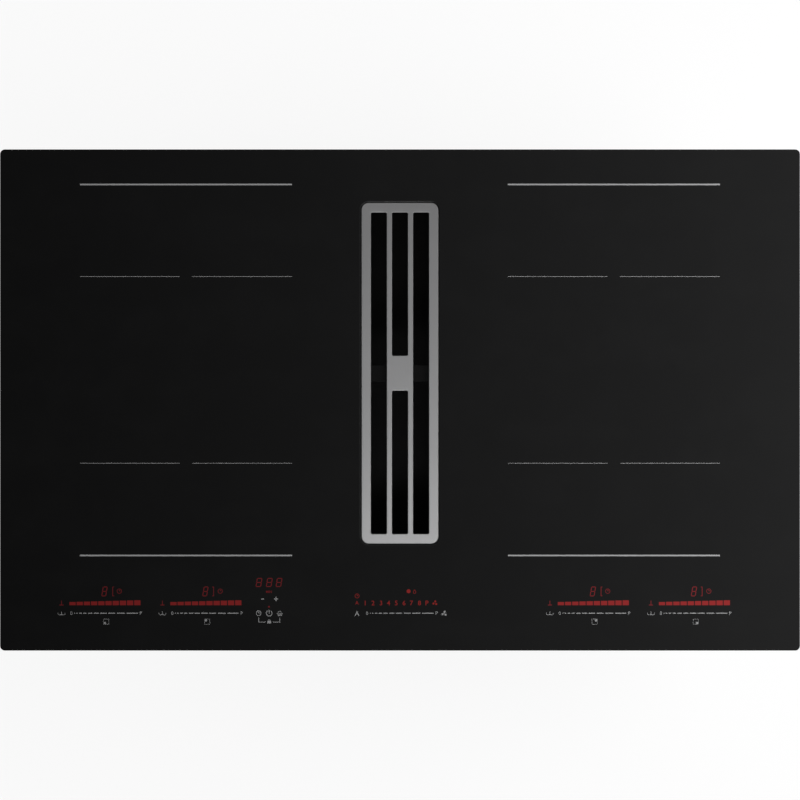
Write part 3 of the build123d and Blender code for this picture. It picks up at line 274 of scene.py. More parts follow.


# the glow's rise towards the right is painted light, not a change in the sign itself
litSign = dict(cloudScale=900.0, dimShare=0.75, paintedRise=1.43, roughness=0.04,
               baseDark=(0.02, 0.001, 0.001), baseLight=(0.03, 0.002, 0.002),
               glow=dict(barRed=(0.172, 0.0094, 0.0094), signRed=(0.184, 0.010, 0.009),
                         dimRed=(0.119, 0.0075, 0.0103)))


# a sign lit from under the glass, with the glass's own gloss; its glow is made brighter towards the right,
# which is painted light as from the lamp on the right
def makeLitSign(name, glow):
    material, tree, shader, place = newMaterial(name)
    cloud = addNoise(tree, place, litSign["cloudScale"], 2.0)
    dark = tuple(litSign["dimShare"] * value for value in glow)
    across = addNode(tree, "ShaderNodeSeparateXYZ", Vector=place).outputs["X"]
    # painted light: the glow grows towards the right as if lit from that side
    paintedGain = compute(tree, "EXPONENT", compute(tree, "MULTIPLY", across, litSign["paintedRise"]))
    lit = addNode(tree, "ShaderNodeVectorMath", {"operation": "SCALE"},
                  i0=shiftColour(tree, cloud, dark, glow), Scale=paintedGain)
    tree.links.new(lit.outputs[0], shader.inputs["Emission Color"])
    tree.links.new(shiftColour(tree, cloud, litSign["baseDark"], litSign["baseLight"]),
                   shader.inputs["Base Color"])
    shader.inputs["Roughness"].default_value = litSign["roughness"]
    shader.inputs["Emission Strength"].default_value = 1.0
    return material


for name, glow in litSign["glow"].items():
    materials[name] = makeLitSign(name, glow)

clampCorners = ("front_left", "front_right", "rear_left", "rear_right")
nodeMaterials = {
    "blackGlass": ["glass_plate"],
    "sealFoam": ["worktop_seal"],
    "silicone": ["bond_beads", "motor_grommets", "coil_sensors"],
    "galvanised": ["base_tray", "motor_plate", "coil_plates"],
    "frameSteel": ["support_frame"],
    "zincPlate": ["side_screws", "casing_screws", "motor_screws", "clamp_bolts",
                  *["clamp_screw_" + corner for corner in clampCorners]],
    "circuitBoard": ["power_boards", "touch_boards"],
    "sinkAluminium": ["heatsinks"],
    "capacitorSleeve": ["capacitors"],
    "chokeWinding": ["chokes"],
    "boxPlastic": ["blower_housings", "driver_housing", "driver_lid", "terminal_housing", "terminal_lid",
                   "touch_carrier"],
    "ductPlastic": ["duct_casing", "duct_plate", "plenum_cover", "outlet_spigot", "impeller",
                    "blower_rotor_left", "blower_rotor_right"],
    "tubPlasticAndShade": ["intake_tub", "well_collar"],
    "trayPlasticAndShade": ["overflow_tray"],
    "naturalNylon": ["coil_formers", "coil_posts", "terminal_block"],
    "micaSheet": ["mica_sheets"],
    "coilWire": ["coil_front_left", "coil_rear_left", "coil_front_right", "coil_rear_right"],
    "ferriteBar": ["coil_ferrites"],
    "displayBlock": ["led_displays"],
    "filterCoatAndShade": ["filter_frame", "filter_handle"],
    "filterMeshAndShade": ["filter_meshes"],
    "grilleSatin": ["grille"],
    "gripRubber": ["grille_pads"],
    "machinedSteel": ["fan_shaft", "motor_bearings"],
    "castMotor": ["motor_stator"],
    "clampSteel": ["clamp_arm_" + corner for corner in clampCorners],
}
for name, nodes in nodeMaterials.items():
    for node in nodes:
        mesh = frame["nodes"][node].data
        mesh.materials.clear()
        mesh.materials.append(materials[name])
print("materials given to", sum(len(nodes) for nodes in nodeMaterials.values()), "nodes")


millimetre = 0.001
# vertices nearer than this are joined, and faces whose normal is at least this upright are level
joining = dict(piece=0.0005, node=0.003)
levelNormal = 0.9999


# turns a mesh drawn in millimetres into an object in metres at the origin that rides on a body
def finishPiece(name, bm, body, slots, sharpAngle=32.0, keepShade=False):
    bmesh.ops.remove_doubles(bm, verts=bm.verts, dist=joining["piece"])
    bmesh.ops.scale(bm, vec=(millimetre, millimetre, millimetre), verts=bm.verts)
    mesh = bpy.data.meshes.new(name)
    bm.normal_update()
    # level faces stay flat, so their long triangles don't show
    smooth = [face.smooth if keepShade else abs(face.normal.z) < levelNormal for face in bm.faces]
    bm.to_mesh(mesh)
    bm.free()
    mesh.set_sharp_from_angle(angle=math.radians(sharpAngle))
    mesh.polygons.foreach_set("use_smooth", smooth)
    for slot in slots:
        mesh.materials.append(materials[slot])
    piece = bpy.data.objects.new(name, mesh)
    bpy.context.scene.collection.objects.link(piece)
    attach(piece, body)
    return piece


# lowest and highest corner of the box round some points
def extent(points):
    spans = list(zip(*points))
    return Vector([min(span) for span in spans]), Vector([max(span) for span in spans])


def addOutline(bm, centre, size, radius, segments=6, z=0.0):
    before = set(bm.faces)
    corners = bmesh.ops.create_grid(bm, x_segments=1, y_segments=1, size=0.5)["verts"]
    bmesh.ops.scale(bm, vec=(size[0], size[1], 1.0), verts=corners)
    bmesh.ops.translate(bm, vec=(centre[0], centre[1], z), verts=corners)
    if radius:
        bmesh.ops.bevel(bm, geom=corners, offset=radius, offset_type="OFFSET", segments=segments,
                        profile=0.5, affect="VERTICES", material=-1)
    return [face for face in bm.faces if face not in before][0]


def addPlate(bm, outline, holes, low, high):
    edges = []
    for shape in [outline, *holes]:
        face = addOutline(bm, *shape, z=low)
        edges += list(face.edges)
        bmesh.ops.delete(bm, geom=[face], context="FACES_ONLY")
    sheet = bmesh.ops.triangle_fill(bm, use_beauty=True, use_dissolve=False, edges=edges)["geom"]
    faces = [item for item in sheet if isinstance(item, bmesh.types.BMFace)]
    bmesh.ops.recalc_face_normals(bm, faces=faces)
    if faces[0].normal.z > 0:
        bmesh.ops.reverse_faces(bm, faces=faces)
    raised = bmesh.ops.extrude_face_region(bm, geom=faces, use_keep_orig=True)["geom"]
    verts = [item for item in raised if isinstance(item, bmesh.types.BMVert)]
    bmesh.ops.translate(bm, vec=(0.0, 0.0, high - low), verts=verts)
    bmesh.ops.recalc_face_normals(bm, faces=bm.faces)


# the sharp edges at one height, turning by more than a radian, whose middle passes the test
def rimEdges(bm, z, test=lambda point: True, slack=1e-4, turn=1.0):
    found = []
    for edge in bm.edges:
        middle = (edge.verts[0].co + edge.verts[1].co) / 2
        if all(abs(vert.co.z - z) < slack for vert in edge.verts):
            if len(edge.link_faces) == 2 and edge.calc_face_angle(0.0) > turn and test(middle):
                found.append(edge)
    return found


def roundEdges(bm, edges, radius, segments):
    return bmesh.ops.bevel(bm, geom=edges, offset=radius, offset_type="OFFSET", segments=segments,
                           profile=0.5, affect="EDGES", material=-1, clamp_overlap=True)["faces"]


# a closed block with its edges rounded
def addBlock(bm, low, high, radius):
    low, high = Vector(low), Vector(high)
    made = bmesh.ops.create_cube(bm, size=1.0)["verts"]
    bmesh.ops.scale(bm, vec=high - low, verts=made)
    bmesh.ops.translate(bm, vec=(low + high) / 2, verts=made)
    edges = list({edge for vert in made for edge in vert.link_edges})
    roundEdges(bm, edges, radius, segments=2)


# beyond innerX or innerY an edge belongs to the rim, and within them to the opening
glass = dict(size=(830.0, 520.0), corner=5.0, low=206.0, high=210.0, pencil=1.3, underEdge=0.5,
             innerX=100.0, innerY=230.0, opening=(81.6, 355.4), openingCorner=8.4,
             openingCentre=(0.0, 27.8), openingEdge=0.8, levelNormal=0.999)


def makeGlass():
    bm = bmesh.new()
    hole = (glass["openingCentre"], glass["opening"], glass["openingCorner"])
    addPlate(bm, ((0.0, 0.0), glass["size"], glass["corner"]), [hole], glass["low"], glass["high"])
    nearRim = lambda point: abs(point.x) > glass["innerX"] or abs(point.y) > glass["innerY"]
    nearOpening = lambda point: not nearRim(point)
    roundEdges(bm, rimEdges(bm, glass["high"], nearRim), glass["pencil"], segments=4)
    roundEdges(bm, rimEdges(bm, glass["low"], nearRim), glass["underEdge"], segments=2)
    roundEdges(bm, rimEdges(bm, glass["high"], nearOpening), glass["openingEdge"], segments=3)
    for face in bm.faces:
        face.material_index = 0 if abs(face.normal.z) > glass["levelNormal"] else 1
    piece = finishPiece("glassTop", bm, "cooktop", ["blackGlass", "groundEdge"], sharpAngle=25.0)
    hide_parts("glass_plate")


makeGlass()
print("glass plate made")


ink = dict(low=209.985, high=210.03, thick=1.6, thin=0.42, gap=13.0,
           groups=((-332.0, -112.0), (112.0, 332.0)), thickRows=(223.6, -161.3), thinRows=(128.1, -65.6))


def addBar(bm, left, bottom, right, top):
    addOutline(bm, ((left + right) / 2, (bottom + top) / 2), (right - left, top - bottom), 0.0)


def addArc(bm, centre, radius, width, start=0.0, sweep=360.0, steps=24):
    turn = math.radians(start)
    out = Vector((math.cos(turn), math.sin(turn), 0.0))
    middle = Vector((centre[0], centre[1], 0.0))
    ends = [bm.verts.new(middle + out * (radius + side * width / 2)) for side in (-1, 1)]
    edge = bm.edges.new(ends)
    count = max(3, round(steps * abs(sweep) / 360.0))
    bmesh.ops.spin(bm, geom=[*ends, edge], cent=middle, axis=(0, 0, 1), angle=math.radians(sweep),
                   steps=count, use_merge=abs(sweep) >= 360.0)


def addDot(bm, centre, radius, steps=16):
    made = bmesh.ops.create_circle(bm, cap_ends=True, radius=radius, segments=steps)["verts"]
    bmesh.ops.translate(bm, vec=(centre[0], centre[1], 0.0), verts=made)


def addLine(bm, start, end, width):
    a, b = Vector((*start, 0.0)), Vector((*end, 0.0))
    made = bmesh.ops.create_grid(bm, x_segments=1, y_segments=1, size=0.5)["verts"]
    turn = Matrix.Rotation(math.atan2(b.y - a.y, b.x - a.x), 4, "Z")
    bmesh.ops.scale(bm, vec=((b - a).length, width, 1.0), verts=made)
    bmesh.ops.transform(bm, matrix=Matrix.Translation((a + b) / 2) @ turn, verts=made)


def addText(bm, words, centre, height, heavy=0.0):
    curve = bpy.data.curves.new("mark", "FONT")
    curve.body, curve.resolution_u, curve.offset = words, 3, heavy
    holder = bpy.data.objects.new("mark", curve)
    bpy.context.scene.collection.objects.link(holder)
    bpy.context.view_layer.update()
    mesh = bpy.data.meshes.new_from_object(holder.evaluated_get(bpy.context.evaluated_depsgraph_get()))
    low, high = extent([vert.co for vert in mesh.vertices])
    grow = Matrix.Scale(height / (high.y - low.y), 4)
    mesh.transform(Matrix.Translation((*centre, 0.0)) @ grow @ Matrix.Translation(-(low + high) / 2))
    bm.from_mesh(mesh)
    bpy.data.objects.remove(holder)
    bpy.data.meshes.remove(mesh)


# a lit figure eight of seven bars, leaning to the right
digitShape = dict(stroke=0.85, gapShare=0.35, jointShare=0.25, slant=0.17)


def addDigit(bm, centre, size):
    width, height = size
    stroke = digitShape["stroke"]
    gap, joint = stroke * digitShape["gapShare"], stroke * digitShape["jointShare"]
    before = set(bm.verts)
    half = width / 2 - stroke / 2
    for row in (-1, 0, 1):
        y = row * (height / 2 - stroke / 2)
        addBar(bm, -half + gap, y - stroke / 2, half - gap, y + stroke / 2)
    for side in (-1, 1):
        for row in (-1, 1):
            x, y = side * half, row * (height / 4 - stroke / 4)
            addBar(bm, x - stroke / 2, y - height / 4 + joint + gap,
                   x + stroke / 2, y + height / 4 - joint - gap)
    fresh = [vert for vert in bm.verts if vert not in before]
    lean = Matrix(((1, digitShape["slant"], 0, centre[0]), (0, 1, 0, centre[1]),
                   (0, 0, 1, 0), (0, 0, 0, 1)))
    bmesh.ops.transform(bm, matrix=lean, verts=fresh)


# hands: the shares of the radius that the long and the short hand reach
def addClock(bm, centre, radius, stroke, hands=(0.62, 0.5)):
    x, y = centre
    addArc(bm, centre, radius - stroke / 2, stroke)
    addBar(bm, x - stroke / 2, y, x + stroke / 2, y + radius * hands[0])
    addBar(bm, x + stroke / 2, y, x + radius * hands[1], y + stroke)


# signs drawn from their own centre, in millimetres: an arc is a centre, radius, width, start, sweep
# and steps, a bar is left, bottom, right and top, and a line is two ends and a width
signShapes = {
    "pan": dict(arcs=(((-2.5, -0.6), 1.1, 0.4, 180, 90, 24), ((2.5, -0.6), 1.1, 0.4, 270, 90, 24)),
                bars=((-2.5, -1.9, 2.5, -1.5), (-3.8, -0.6, -3.4, 0.6), (3.4, -0.6, 3.8, 0.6),
                      (-0.22, -0.9, 0.22, 1.9), (-1.1, -1.4, 1.1, -0.9))),
    "melt": dict(bars=((-0.35, -1.7, 0.35, 2.4), (-2.1, -2.5, 2.1, -1.7))),
    "bridge": dict(bars=((-0.35, -4.9, 0.35, 4.9), (0.35, -4.9, 1.5, -4.3), (0.35, 4.3, 1.5, 4.9))),
    "zone": dict(bars=((-2.85, -2.85, -2.55, 2.85), (-2.55, -2.85, 2.55, -2.55),
                       (2.55, -2.85, 2.85, 2.85), (-2.55, 2.55, 2.55, 2.85))),
    "quarter": dict(bars=((0.3, 0.3, 2.3, 2.3),)),
    "minus": dict(bars=((-1.5, -0.45, 1.5, 0.45),)),
    "plus": dict(bars=((-2.1, -0.5, 2.1, 0.5), (-0.5, -2.1, 0.5, -0.5), (-0.5, 0.5, 0.5, 2.1))),
    "power": dict(arcs=(((0.0, 0.0), 2.9, 0.75, 122, 296, 28),), bars=((-0.4, -0.2, 0.4, 3.5),)),
    "pot": dict(arcs=(((0.0, -0.7), 0.9, 0.5, 0, 360, 24),),
                bars=((-2.2, -2.6, 2.2, -2.0), (-2.2, -2.0, -1.6, 0.2), (-3.1, -0.4, -2.2, 0.2),
                      (1.6, -2.0, 2.2, 0.2), (2.2, -0.4, 3.1, 0.2)),
                lines=(((-0.2, 2.6), (-2.0, 0.9), 0.5), ((0.2, 2.6), (2.0, 0.9), 0.5))),
    "hook": dict(bars=((-0.3, -0.3, 0.3, 4.8), (0.3, -0.3, 7.1, 0.3))),
    "lock": dict(arcs=(((0.0, 1.1), 1.15, 0.5, 0, 180, 20),), bars=((-1.95, -1.5, 1.95, 1.1),)),
    "drop": dict(arcs=(((0.0, -0.5), 1.35, 0.5, 140, 260, 20),),
                 lines=(((-1.05, 0.35), (-0.1, 2.0), 0.45), ((1.05, 0.35), (0.1, 2.0), 0.45))),
}


# flip turns the bars over along X or Y where it is -1
def addSign(bm, name, centre, flip=(1, 1)):
    x, y = centre
    shape = signShapes[name]
    for (dx, dy), *arc in shape.get("arcs", ()):
        addArc(bm, (x + dx, y + dy), *arc)
    for left, bottom, right, top in shape.get("bars", ()):
        across = sorted((x + flip[0] * left, x + flip[0] * right))
        up = sorted((y + flip[1] * bottom, y + flip[1] * top))
        addBar(bm, across[0], up[0], across[1], up[1])
    for start, end, width in shape.get("lines", ()):
        addLine(bm, (x + start[0], y + start[1]), (x + end[0], y + end[1]), width)


def printPiece(name, bm, material):
    bmesh.ops.recalc_face_normals(bm, faces=bm.faces)
    for face in bm.faces:
        if face.normal.z > 0:
            face.normal_flip()
    raised = bmesh.ops.extrude_face_region(bm, geom=list(bm.faces), use_keep_orig=True)["geom"]
    verts = [item for item in raised if isinstance(item, bmesh.types.BMVert)]
    bmesh.ops.translate(bm, vec=(0.0, 0.0, ink["high"] - ink["low"]), verts=verts)
    bmesh.ops.translate(bm, vec=(0.0, 0.0, ink["low"]), verts=bm.verts)
    bmesh.ops.recalc_face_normals(bm, faces=bm.faces)
    piece = finishPiece(name, bm, "cooktop", [material])


def makeZoneLines():
    bm = bmesh.new()
    for left, right in ink["groups"]:
        middle = (left + right) / 2
        for y in ink["thickRows"]:
            addBar(bm, left, y - ink["thick"] / 2, right, y + ink["thick"] / 2)
        for y in ink["thinRows"]:
            addBar(bm, left, y - ink["thin"] / 2, middle - ink["gap"] / 2, y + ink["thin"] / 2)
            addBar(bm, middle + ink["gap"] / 2, y - ink["thin"] / 2, right, y + ink["thin"] / 2)
    printPiece("zoneLines", bm, "lineInk")


slider = dict(starts=(-343.0, -238.3, 163.7, 268.6), barCount=10, barPitch=7.47, barWidth=6.5,
              barLow=-212.9, barHigh=(-209.6, -207.8), row=-221.2, dash=0.98,
              dashes=((4.98, 5.81), (7.16, 8.72), (10.17, 12.87), (14.32, 17.53), (19.3, 23.76),
                      (25.32, 30.61), (32.06, 38.8), (40.26, 47.52), (49.39, 57.48), (59.45, 70.97)),
              ends=(("0", 2.08, 3.6), ("P", 74.1, 3.5)), digit=(36.4, -198.6), digitSize=(5.0, 10.2),
              bridge=(44.9, -198.6), clock=(51.8, -198.3), clockSize=(2.6, 0.55), zone=(38.25, -230.0),
              quarters=((-1, -1), (-1, 1), (1, 1), (1, -1)), pan=(-8.2, -221.2), melt=(-8.2, -210.6))


# a row of growing dashes between two letters, each with its place and height
def addDashRow(bm, table, start=0.0):
    row, half = table["row"], table["dash"] / 2
    for low, high in table["dashes"]:
        addBar(bm, start + low, row - half, start + high, row + half)
    for word, x, height in table["ends"]:
        addText(bm, word, (start + x, row), height)


def makeSliders():
    white, bars, signs = bmesh.new(), bmesh.new(), bmesh.new()
    low, high = slider["barHigh"]
    for k, start in enumerate(slider["starts"]):
        place = lambda key: (start + slider[key][0], slider[key][1])
        for i in range(slider["barCount"]):
            left = start + i * slider["barPitch"]
            top = low + (high - low) * i / (slider["barCount"] - 1)
            addBar(bars, left, slider["barLow"], left + slider["barWidth"], top)
        addDashRow(white, slider, start)
        addSign(white, "pan", place("pan"))
        addSign(signs, "melt", place("melt"))
        addDigit(signs, place("digit"), slider["digitSize"])
        addSign(signs, "bridge", place("bridge"), (1 if k % 2 == 0 else -1, 1))
        addClock(signs, place("clock"), *slider["clockSize"])
        addSign(white, "zone", place("zone"))
        addSign(white, "quarter", place("zone"), slider["quarters"][k])
    printPiece("sliderMarks", white, "markInk")
    printPiece("sliderBars", bars, "barRed")
    printPiece("sliderSigns", signs, "dimRed")


timer = dict(digits=(-146.3, -135.6, -125.5), digitY=-189.3, digitSize=(5.7, 9.3),
             minutes=("MIN", (-136.0, -199.0), 2.5, 0.012), minus=(-142.6, -206.5), plus=(-128.7, -206.4),
             dot=((-135.9, -214.5), 0.95), clock=(-146.6, -221.2), clockSize=(2.8, 0.6),
             power=(-135.7, -221.2), pot=(-124.7, -221.4), lock=(-135.7, -230.3), hookY=-230.4)


def makeTimer():
    white, signs = bmesh.new(), bmesh.new()
    for x in timer["digits"]:
        addDigit(signs, (x, timer["digitY"]), timer["digitSize"])
    addText(signs, *timer["minutes"])
    addDot(signs, *timer["dot"])
    addClock(white, timer["clock"], *timer["clockSize"])
    for name in ("minus", "plus", "power", "pot", "lock"):
        addSign(white, name, timer[name])
    # two hooks join the clock and the pot round the lock
    for side, end in ((1, timer["clock"]), (-1, timer["pot"])):
        addSign(white, "hook", (end[0], timer["hookY"]), (side, 1))
    printPiece("timerMarks", white, "markInk")
    printPiece("timerSigns", signs, "dimRed")


extractor = dict(row=-221.2, dash=0.98,
                 dashes=((-31.1, -30.3), (-29.05, -27.7), (-25.9, -23.55), (-22.0, -18.8), (-17.2, -12.7),
                         (-11.1, -5.8), (-4.25, 2.1), (4.05, 11.2), (12.8, 21.2), (22.8, 34.9)),
                 ends=(("0", -34.2, 3.6), ("P", 38.0, 3.5)),
                 numbers=(-36.1, -28.0, -19.7, -11.9, -3.9, 4.2, 11.9, 20.2, 28.0), numberY=-210.6,
                 numberHeight=4.9, numberHeavy=0.01, clock=(-44.5, -203.3), clockSize=(2.4, 0.5),
                 litLetter=("A", (-44.6, -210.4), 3.6, 0.01), letter=("A", (-44.6, -221.4), 4.7, 0.015),
                 litFan=((36.3, -210.6), 1.7, 1.05, 0.4), fan=((45.9, -221.6), 1.85, 1.15, 0.45),
                 grease=((8.9, -198.4), 2.1), drop=(15.1, -198.8))


# three round blades about a hub
def addFan(bm, centre, reach, blade, hub):
    for turn in (80.0, 200.0, 320.0):
        at = Vector((math.cos(math.radians(turn)), math.sin(math.radians(turn)))) * reach
        addDot(bm, (centre[0] + at.x, centre[1] + at.y), blade, steps=14)
    addDot(bm, centre, hub, steps=10)


def makeExtractorMarks():
    white, signs = bmesh.new(), bmesh.new()
    addDashRow(white, extractor)
    addText(white, *extractor["letter"])
    addFan(white, *extractor["fan"])
    for x, word in zip(extractor["numbers"], "12345678P"):
        addText(signs, word, (x, extractor["numberY"]), extractor["numberHeight"], extractor["numberHeavy"])
    addText(signs, *extractor["litLetter"])
    addClock(signs, extractor["clock"], *extractor["clockSize"])
    addFan(signs, *extractor["litFan"])
    addDot(signs, *extractor["grease"])
    addSign(signs, "drop", extractor["drop"])
    printPiece("extractorMarks", white, "markInk")
    printPiece("extractorSigns", signs, "signRed")


makeZoneLines()
makeSliders()
makeTimer()
makeExtractorMarks()
print("prints and lit signs made")


grille = dict(size=(79.6, 353.4), corner=7.4, centreY=27.8, low=202.0, high=211.0, slotWidth=16.6,
              slotLength=333.8, slotCorner=1.5, pitch=21.9, bridge=36.0, rimBand=3.0, outerEdge=0.6,
              slotEdge=0.45, underEdge=0.4, tabX=(30.6, 32.6), tabY=106.0, tabHalf=10.0, tabLow=197.5,
              tabSink=0.4, tabEdge=0.35)


def makeGrille():
    bm = bmesh.new()
    middle, width, radius = grille["centreY"], grille["slotWidth"], grille["slotCorner"]
    slots = [((side * grille["pitch"], middle), (width, grille["slotLength"]), radius) for side in (-1, 1)]
    length = (grille["slotLength"] - grille["bridge"]) / 2
    for end in (-1, 1):
        slots.append(((0.0, middle + end * (grille["bridge"] + length) / 2), (width, length), radius))
    addPlate(bm, ((0.0, middle), grille["size"], grille["corner"]), slots, grille["low"], grille["high"])
    halfX, halfY = (span / 2 - grille["rimBand"] for span in grille["size"])
    onRim = lambda point: abs(point.x) > halfX or abs(point.y - middle) > halfY
    inSlot = lambda point: not onRim(point)
    roundEdges(bm, rimEdges(bm, grille["high"], onRim), grille["outerEdge"], segments=4)
    roundEdges(bm, rimEdges(bm, grille["high"], inSlot), grille["slotEdge"], segments=3)
    roundEdges(bm, rimEdges(bm, grille["low"]), grille["underEdge"], segments=1)
    for side in (-1, 1):
        for end in (-1, 1):
            left, right = sorted((side * grille["tabX"][0], side * grille["tabX"][1]))
            y = middle + end * grille["tabY"]
            addBlock(bm, (left, y - grille["tabHalf"], grille["tabLow"]),
                     (right, y + grille["tabHalf"], grille["low"] + grille["tabSink"]), grille["tabEdge"])
    piece = finishPiece("grilleCasting", bm, "grille_insert", ["grilleSatin"], sharpAngle=30.0)
    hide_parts("grille")


makeGrille()
print("grille made")


bodyOf = {node: body for body, nodes in frame["record"]["behaviour"]["bodies"].items() for node in nodes}

# nodes whose sharp edges get the small rounding of a press or a mould: (rounding, material, slot)
softened = {
    "base_tray": (0.35, "galvanised", "galvanised_sheet"),
    "support_frame": (0.35, "frameSteel", "galvanised_sheet"),
    "duct_casing": (0.6, "ductPlastic", "black_plastic"),
    "duct_plate": (0.5, "ductPlastic", "black_plastic"),
    "plenum_cover": (0.6, "ductPlastic", "black_plastic"),
    "outlet_spigot": (0.4, "ductPlastic", "black_plastic"),
    "intake_tub": (0.5, "tubPlasticAndShade", "black_plastic"),
    "well_collar": (0.4, "tubPlasticAndShade", "black_plastic"),
    "overflow_tray": (0.35, "trayPlasticAndShade", "grey_plastic"),
    "filter_frame": (0.3, "filterCoatAndShade", "black_steel"),
    "filter_handle": (0.8, "filterCoatAndShade", "black_steel"),
    "driver_housing": (0.7, "boxPlastic", "black_plastic"),
    "driver_lid": (0.5, "boxPlastic", "black_plastic"),
    "terminal_housing": (0.7, "boxPlastic", "black_plastic"),
    "terminal_lid": (0.5, "boxPlastic", "black_plastic"),
    **{"clamp_arm_" + corner: (0.3, "clampSteel", "galvanised_sheet") for corner in clampCorners},
    "motor_plate": (0.3, "galvanised", "galvanised_sheet"),
    "worktop_seal": (0.5, "sealFoam", "black_foam"),
}


# the node's mesh in millimetres, with its loose triangles joined
def joinedMesh(node):
    bm = bmesh.new()
    bm.from_mesh(frame["nodes"][node].data)
    bmesh.ops.scale(bm, vec=(1 / millimetre, 1 / millimetre, 1 / millimetre), verts=bm.verts)
    bmesh.ops.remove_doubles(bm, verts=bm.verts, dist=joining["node"])
    return bm


# angles in degrees: faces this flat are joined, faces that turn between the two of curve are shaded
# smooth, edges above sharp are rounded, and edges above shade stay crisp
softening = dict(flat=0.6, curve=(1.0, 24.0), sharp=40.0, shade=50.0)


def softenNode(node, rounding, material, slot):
    bm = joinedMesh(node)
    bmesh.ops.dissolve_limit(bm, angle_limit=math.radians(softening["flat"]), use_dissolve_boundaries=False,
                             verts=bm.verts, edges=bm.edges, delimit=set())
    least, most = (math.radians(angle) for angle in softening["curve"])
    sharpest = math.radians(softening["sharp"])
    bm.normal_update()
    for face in bm.faces:
        turns = [edge.calc_face_angle(0.0) for edge in face.edges if edge.is_manifold]
        face.smooth = any(least < turn < most for turn in turns)
    sharp = [edge for edge in bm.edges if edge.is_manifold and edge.calc_face_angle() > sharpest]
    for face in roundEdges(bm, sharp, rounding, segments=2):
        face.smooth = True
    bmesh.ops.triangulate(bm, faces=[face for face in bm.faces if len(face.verts) > 4])
    piece = finishPiece(node + "Soft", bm, bodyOf[node], [material],
                        sharpAngle=softening["shade"], keepShade=True)
    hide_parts(node)


for node, settings in softened.items():
    softenNode(node, *settings)
print("pressed and moulded edges rounded on", len(softened), "nodes")


# each ring of a flanged head with a star recess: radius at the corners, radius between them, height;
# heads whose seat is at one of the heights in upward point up
screwHead = dict(rings=((3.7, 3.7, 0.0), (3.7, 3.7, 0.5), (3.4, 3.4, 0.8), (3.05, 2.66, 0.9),
                        (3.05, 2.66, 2.05), (2.7, 2.45, 2.4), (1.75, 1.25, 2.4), (1.65, 1.15, 1.3)),
                 points=12, shankRadius=1.7, motorShank=10.4, upward=(100.5, 151.0), slack=0.3, height=2.4)


# moves all of one mesh into another
def mergeMesh(bm, other):
    mesh = bpy.data.meshes.new("part")
    other.to_mesh(mesh)
    other.free()
    bm.from_mesh(mesh)
    bpy.data.meshes.remove(mesh)


def addScrewHead(bm, seat, direction, shank=0.0):
    rings, radius = list(screwHead["rings"]), screwHead["shankRadius"]
    if shank:
        rings = [(radius, radius, -shank), (radius, radius, 0.0), *rings]
    head, loops = bmesh.new(), []
    for corner, between, z in rings:
        verts = bmesh.ops.create_circle(head, cap_ends=False, radius=1.0,
                                        segments=screwHead["points"])["verts"]
        for i, vert in enumerate(verts):
            vert.co *= between if i % 2 else corner
            vert.co.z = z
        loops.append(list({edge for vert in verts for edge in vert.link_edges}))
    for below, above in zip(loops, loops[1:]):
        bmesh.ops.bridge_loops(head, edges=below + above)
    for ends in (loops[0], loops[-1]):
        bmesh.ops.contextual_create(head, geom=ends)
    bmesh.ops.recalc_face_normals(head, faces=head.faces)
    if head.calc_volume(signed=True) < 0:
        bmesh.ops.reverse_faces(head, faces=head.faces)
    turn = Vector(direction).to_track_quat("Z", "Y").to_matrix().to_4x4()
    bmesh.ops.transform(head, matrix=Matrix.Translation(seat) @ turn, verts=head.verts)
    mergeMesh(bm, head)


# lowest and highest corner of each separate solid of a node
def solidCorners(node):
    bm = joinedMesh(node)
    places, seen = [], set()
    for start in bm.verts:
        if start in seen:
            continue
        group, queue = [], [start]
        seen.add(start)
        while queue:
            vert = queue.pop()
            group.append(vert.co.copy())
            for edge in vert.link_edges:
                other = edge.other_vert(vert)
                if other not in seen:
                    seen.add(other)
                    queue.append(other)
        places.append(extent(group))
    bm.free()
    return places


def makeScrews(node, name, shank=0.0):
    bm = bmesh.new()
    for low, high in solidCorners(node):
        middle, size = (low + high) / 2, high - low
        axis = 2 if shank else min(range(3), key=lambda i: size[i])
        outwards = 1 if middle[axis] > 0 else -1
        if axis == 2:
            outwards = 1 if any(abs(low.z - z) < screwHead["slack"] for z in screwHead["upward"]) else -1
        direction, seat = Vector(), middle.copy()
        direction[axis] = outwards
        seat[axis] = low[axis] if outwards > 0 else low[axis] + screwHead["height"]
        addScrewHead(bm, seat, direction, shank)
    piece = finishPiece(name, bm, bodyOf[node], ["zincPlate"], sharpAngle=28.0)
    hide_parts(node)


makeScrews("casing_screws", "casingScrewHeads")
makeScrews("side_screws", "sideScrewHeads")
makeScrews("motor_screws", "motorScrewsTurned", screwHead["motorShank"])
print("screw heads made")


# the upright bars are inset by a hair and run into the level ones, as the lattice does into all four
filterPanel = dict(border=4.0, cells=(58, 8), strand=0.75, shift=0.35, edge=0.4, inset=0.01, overlap=0.5)


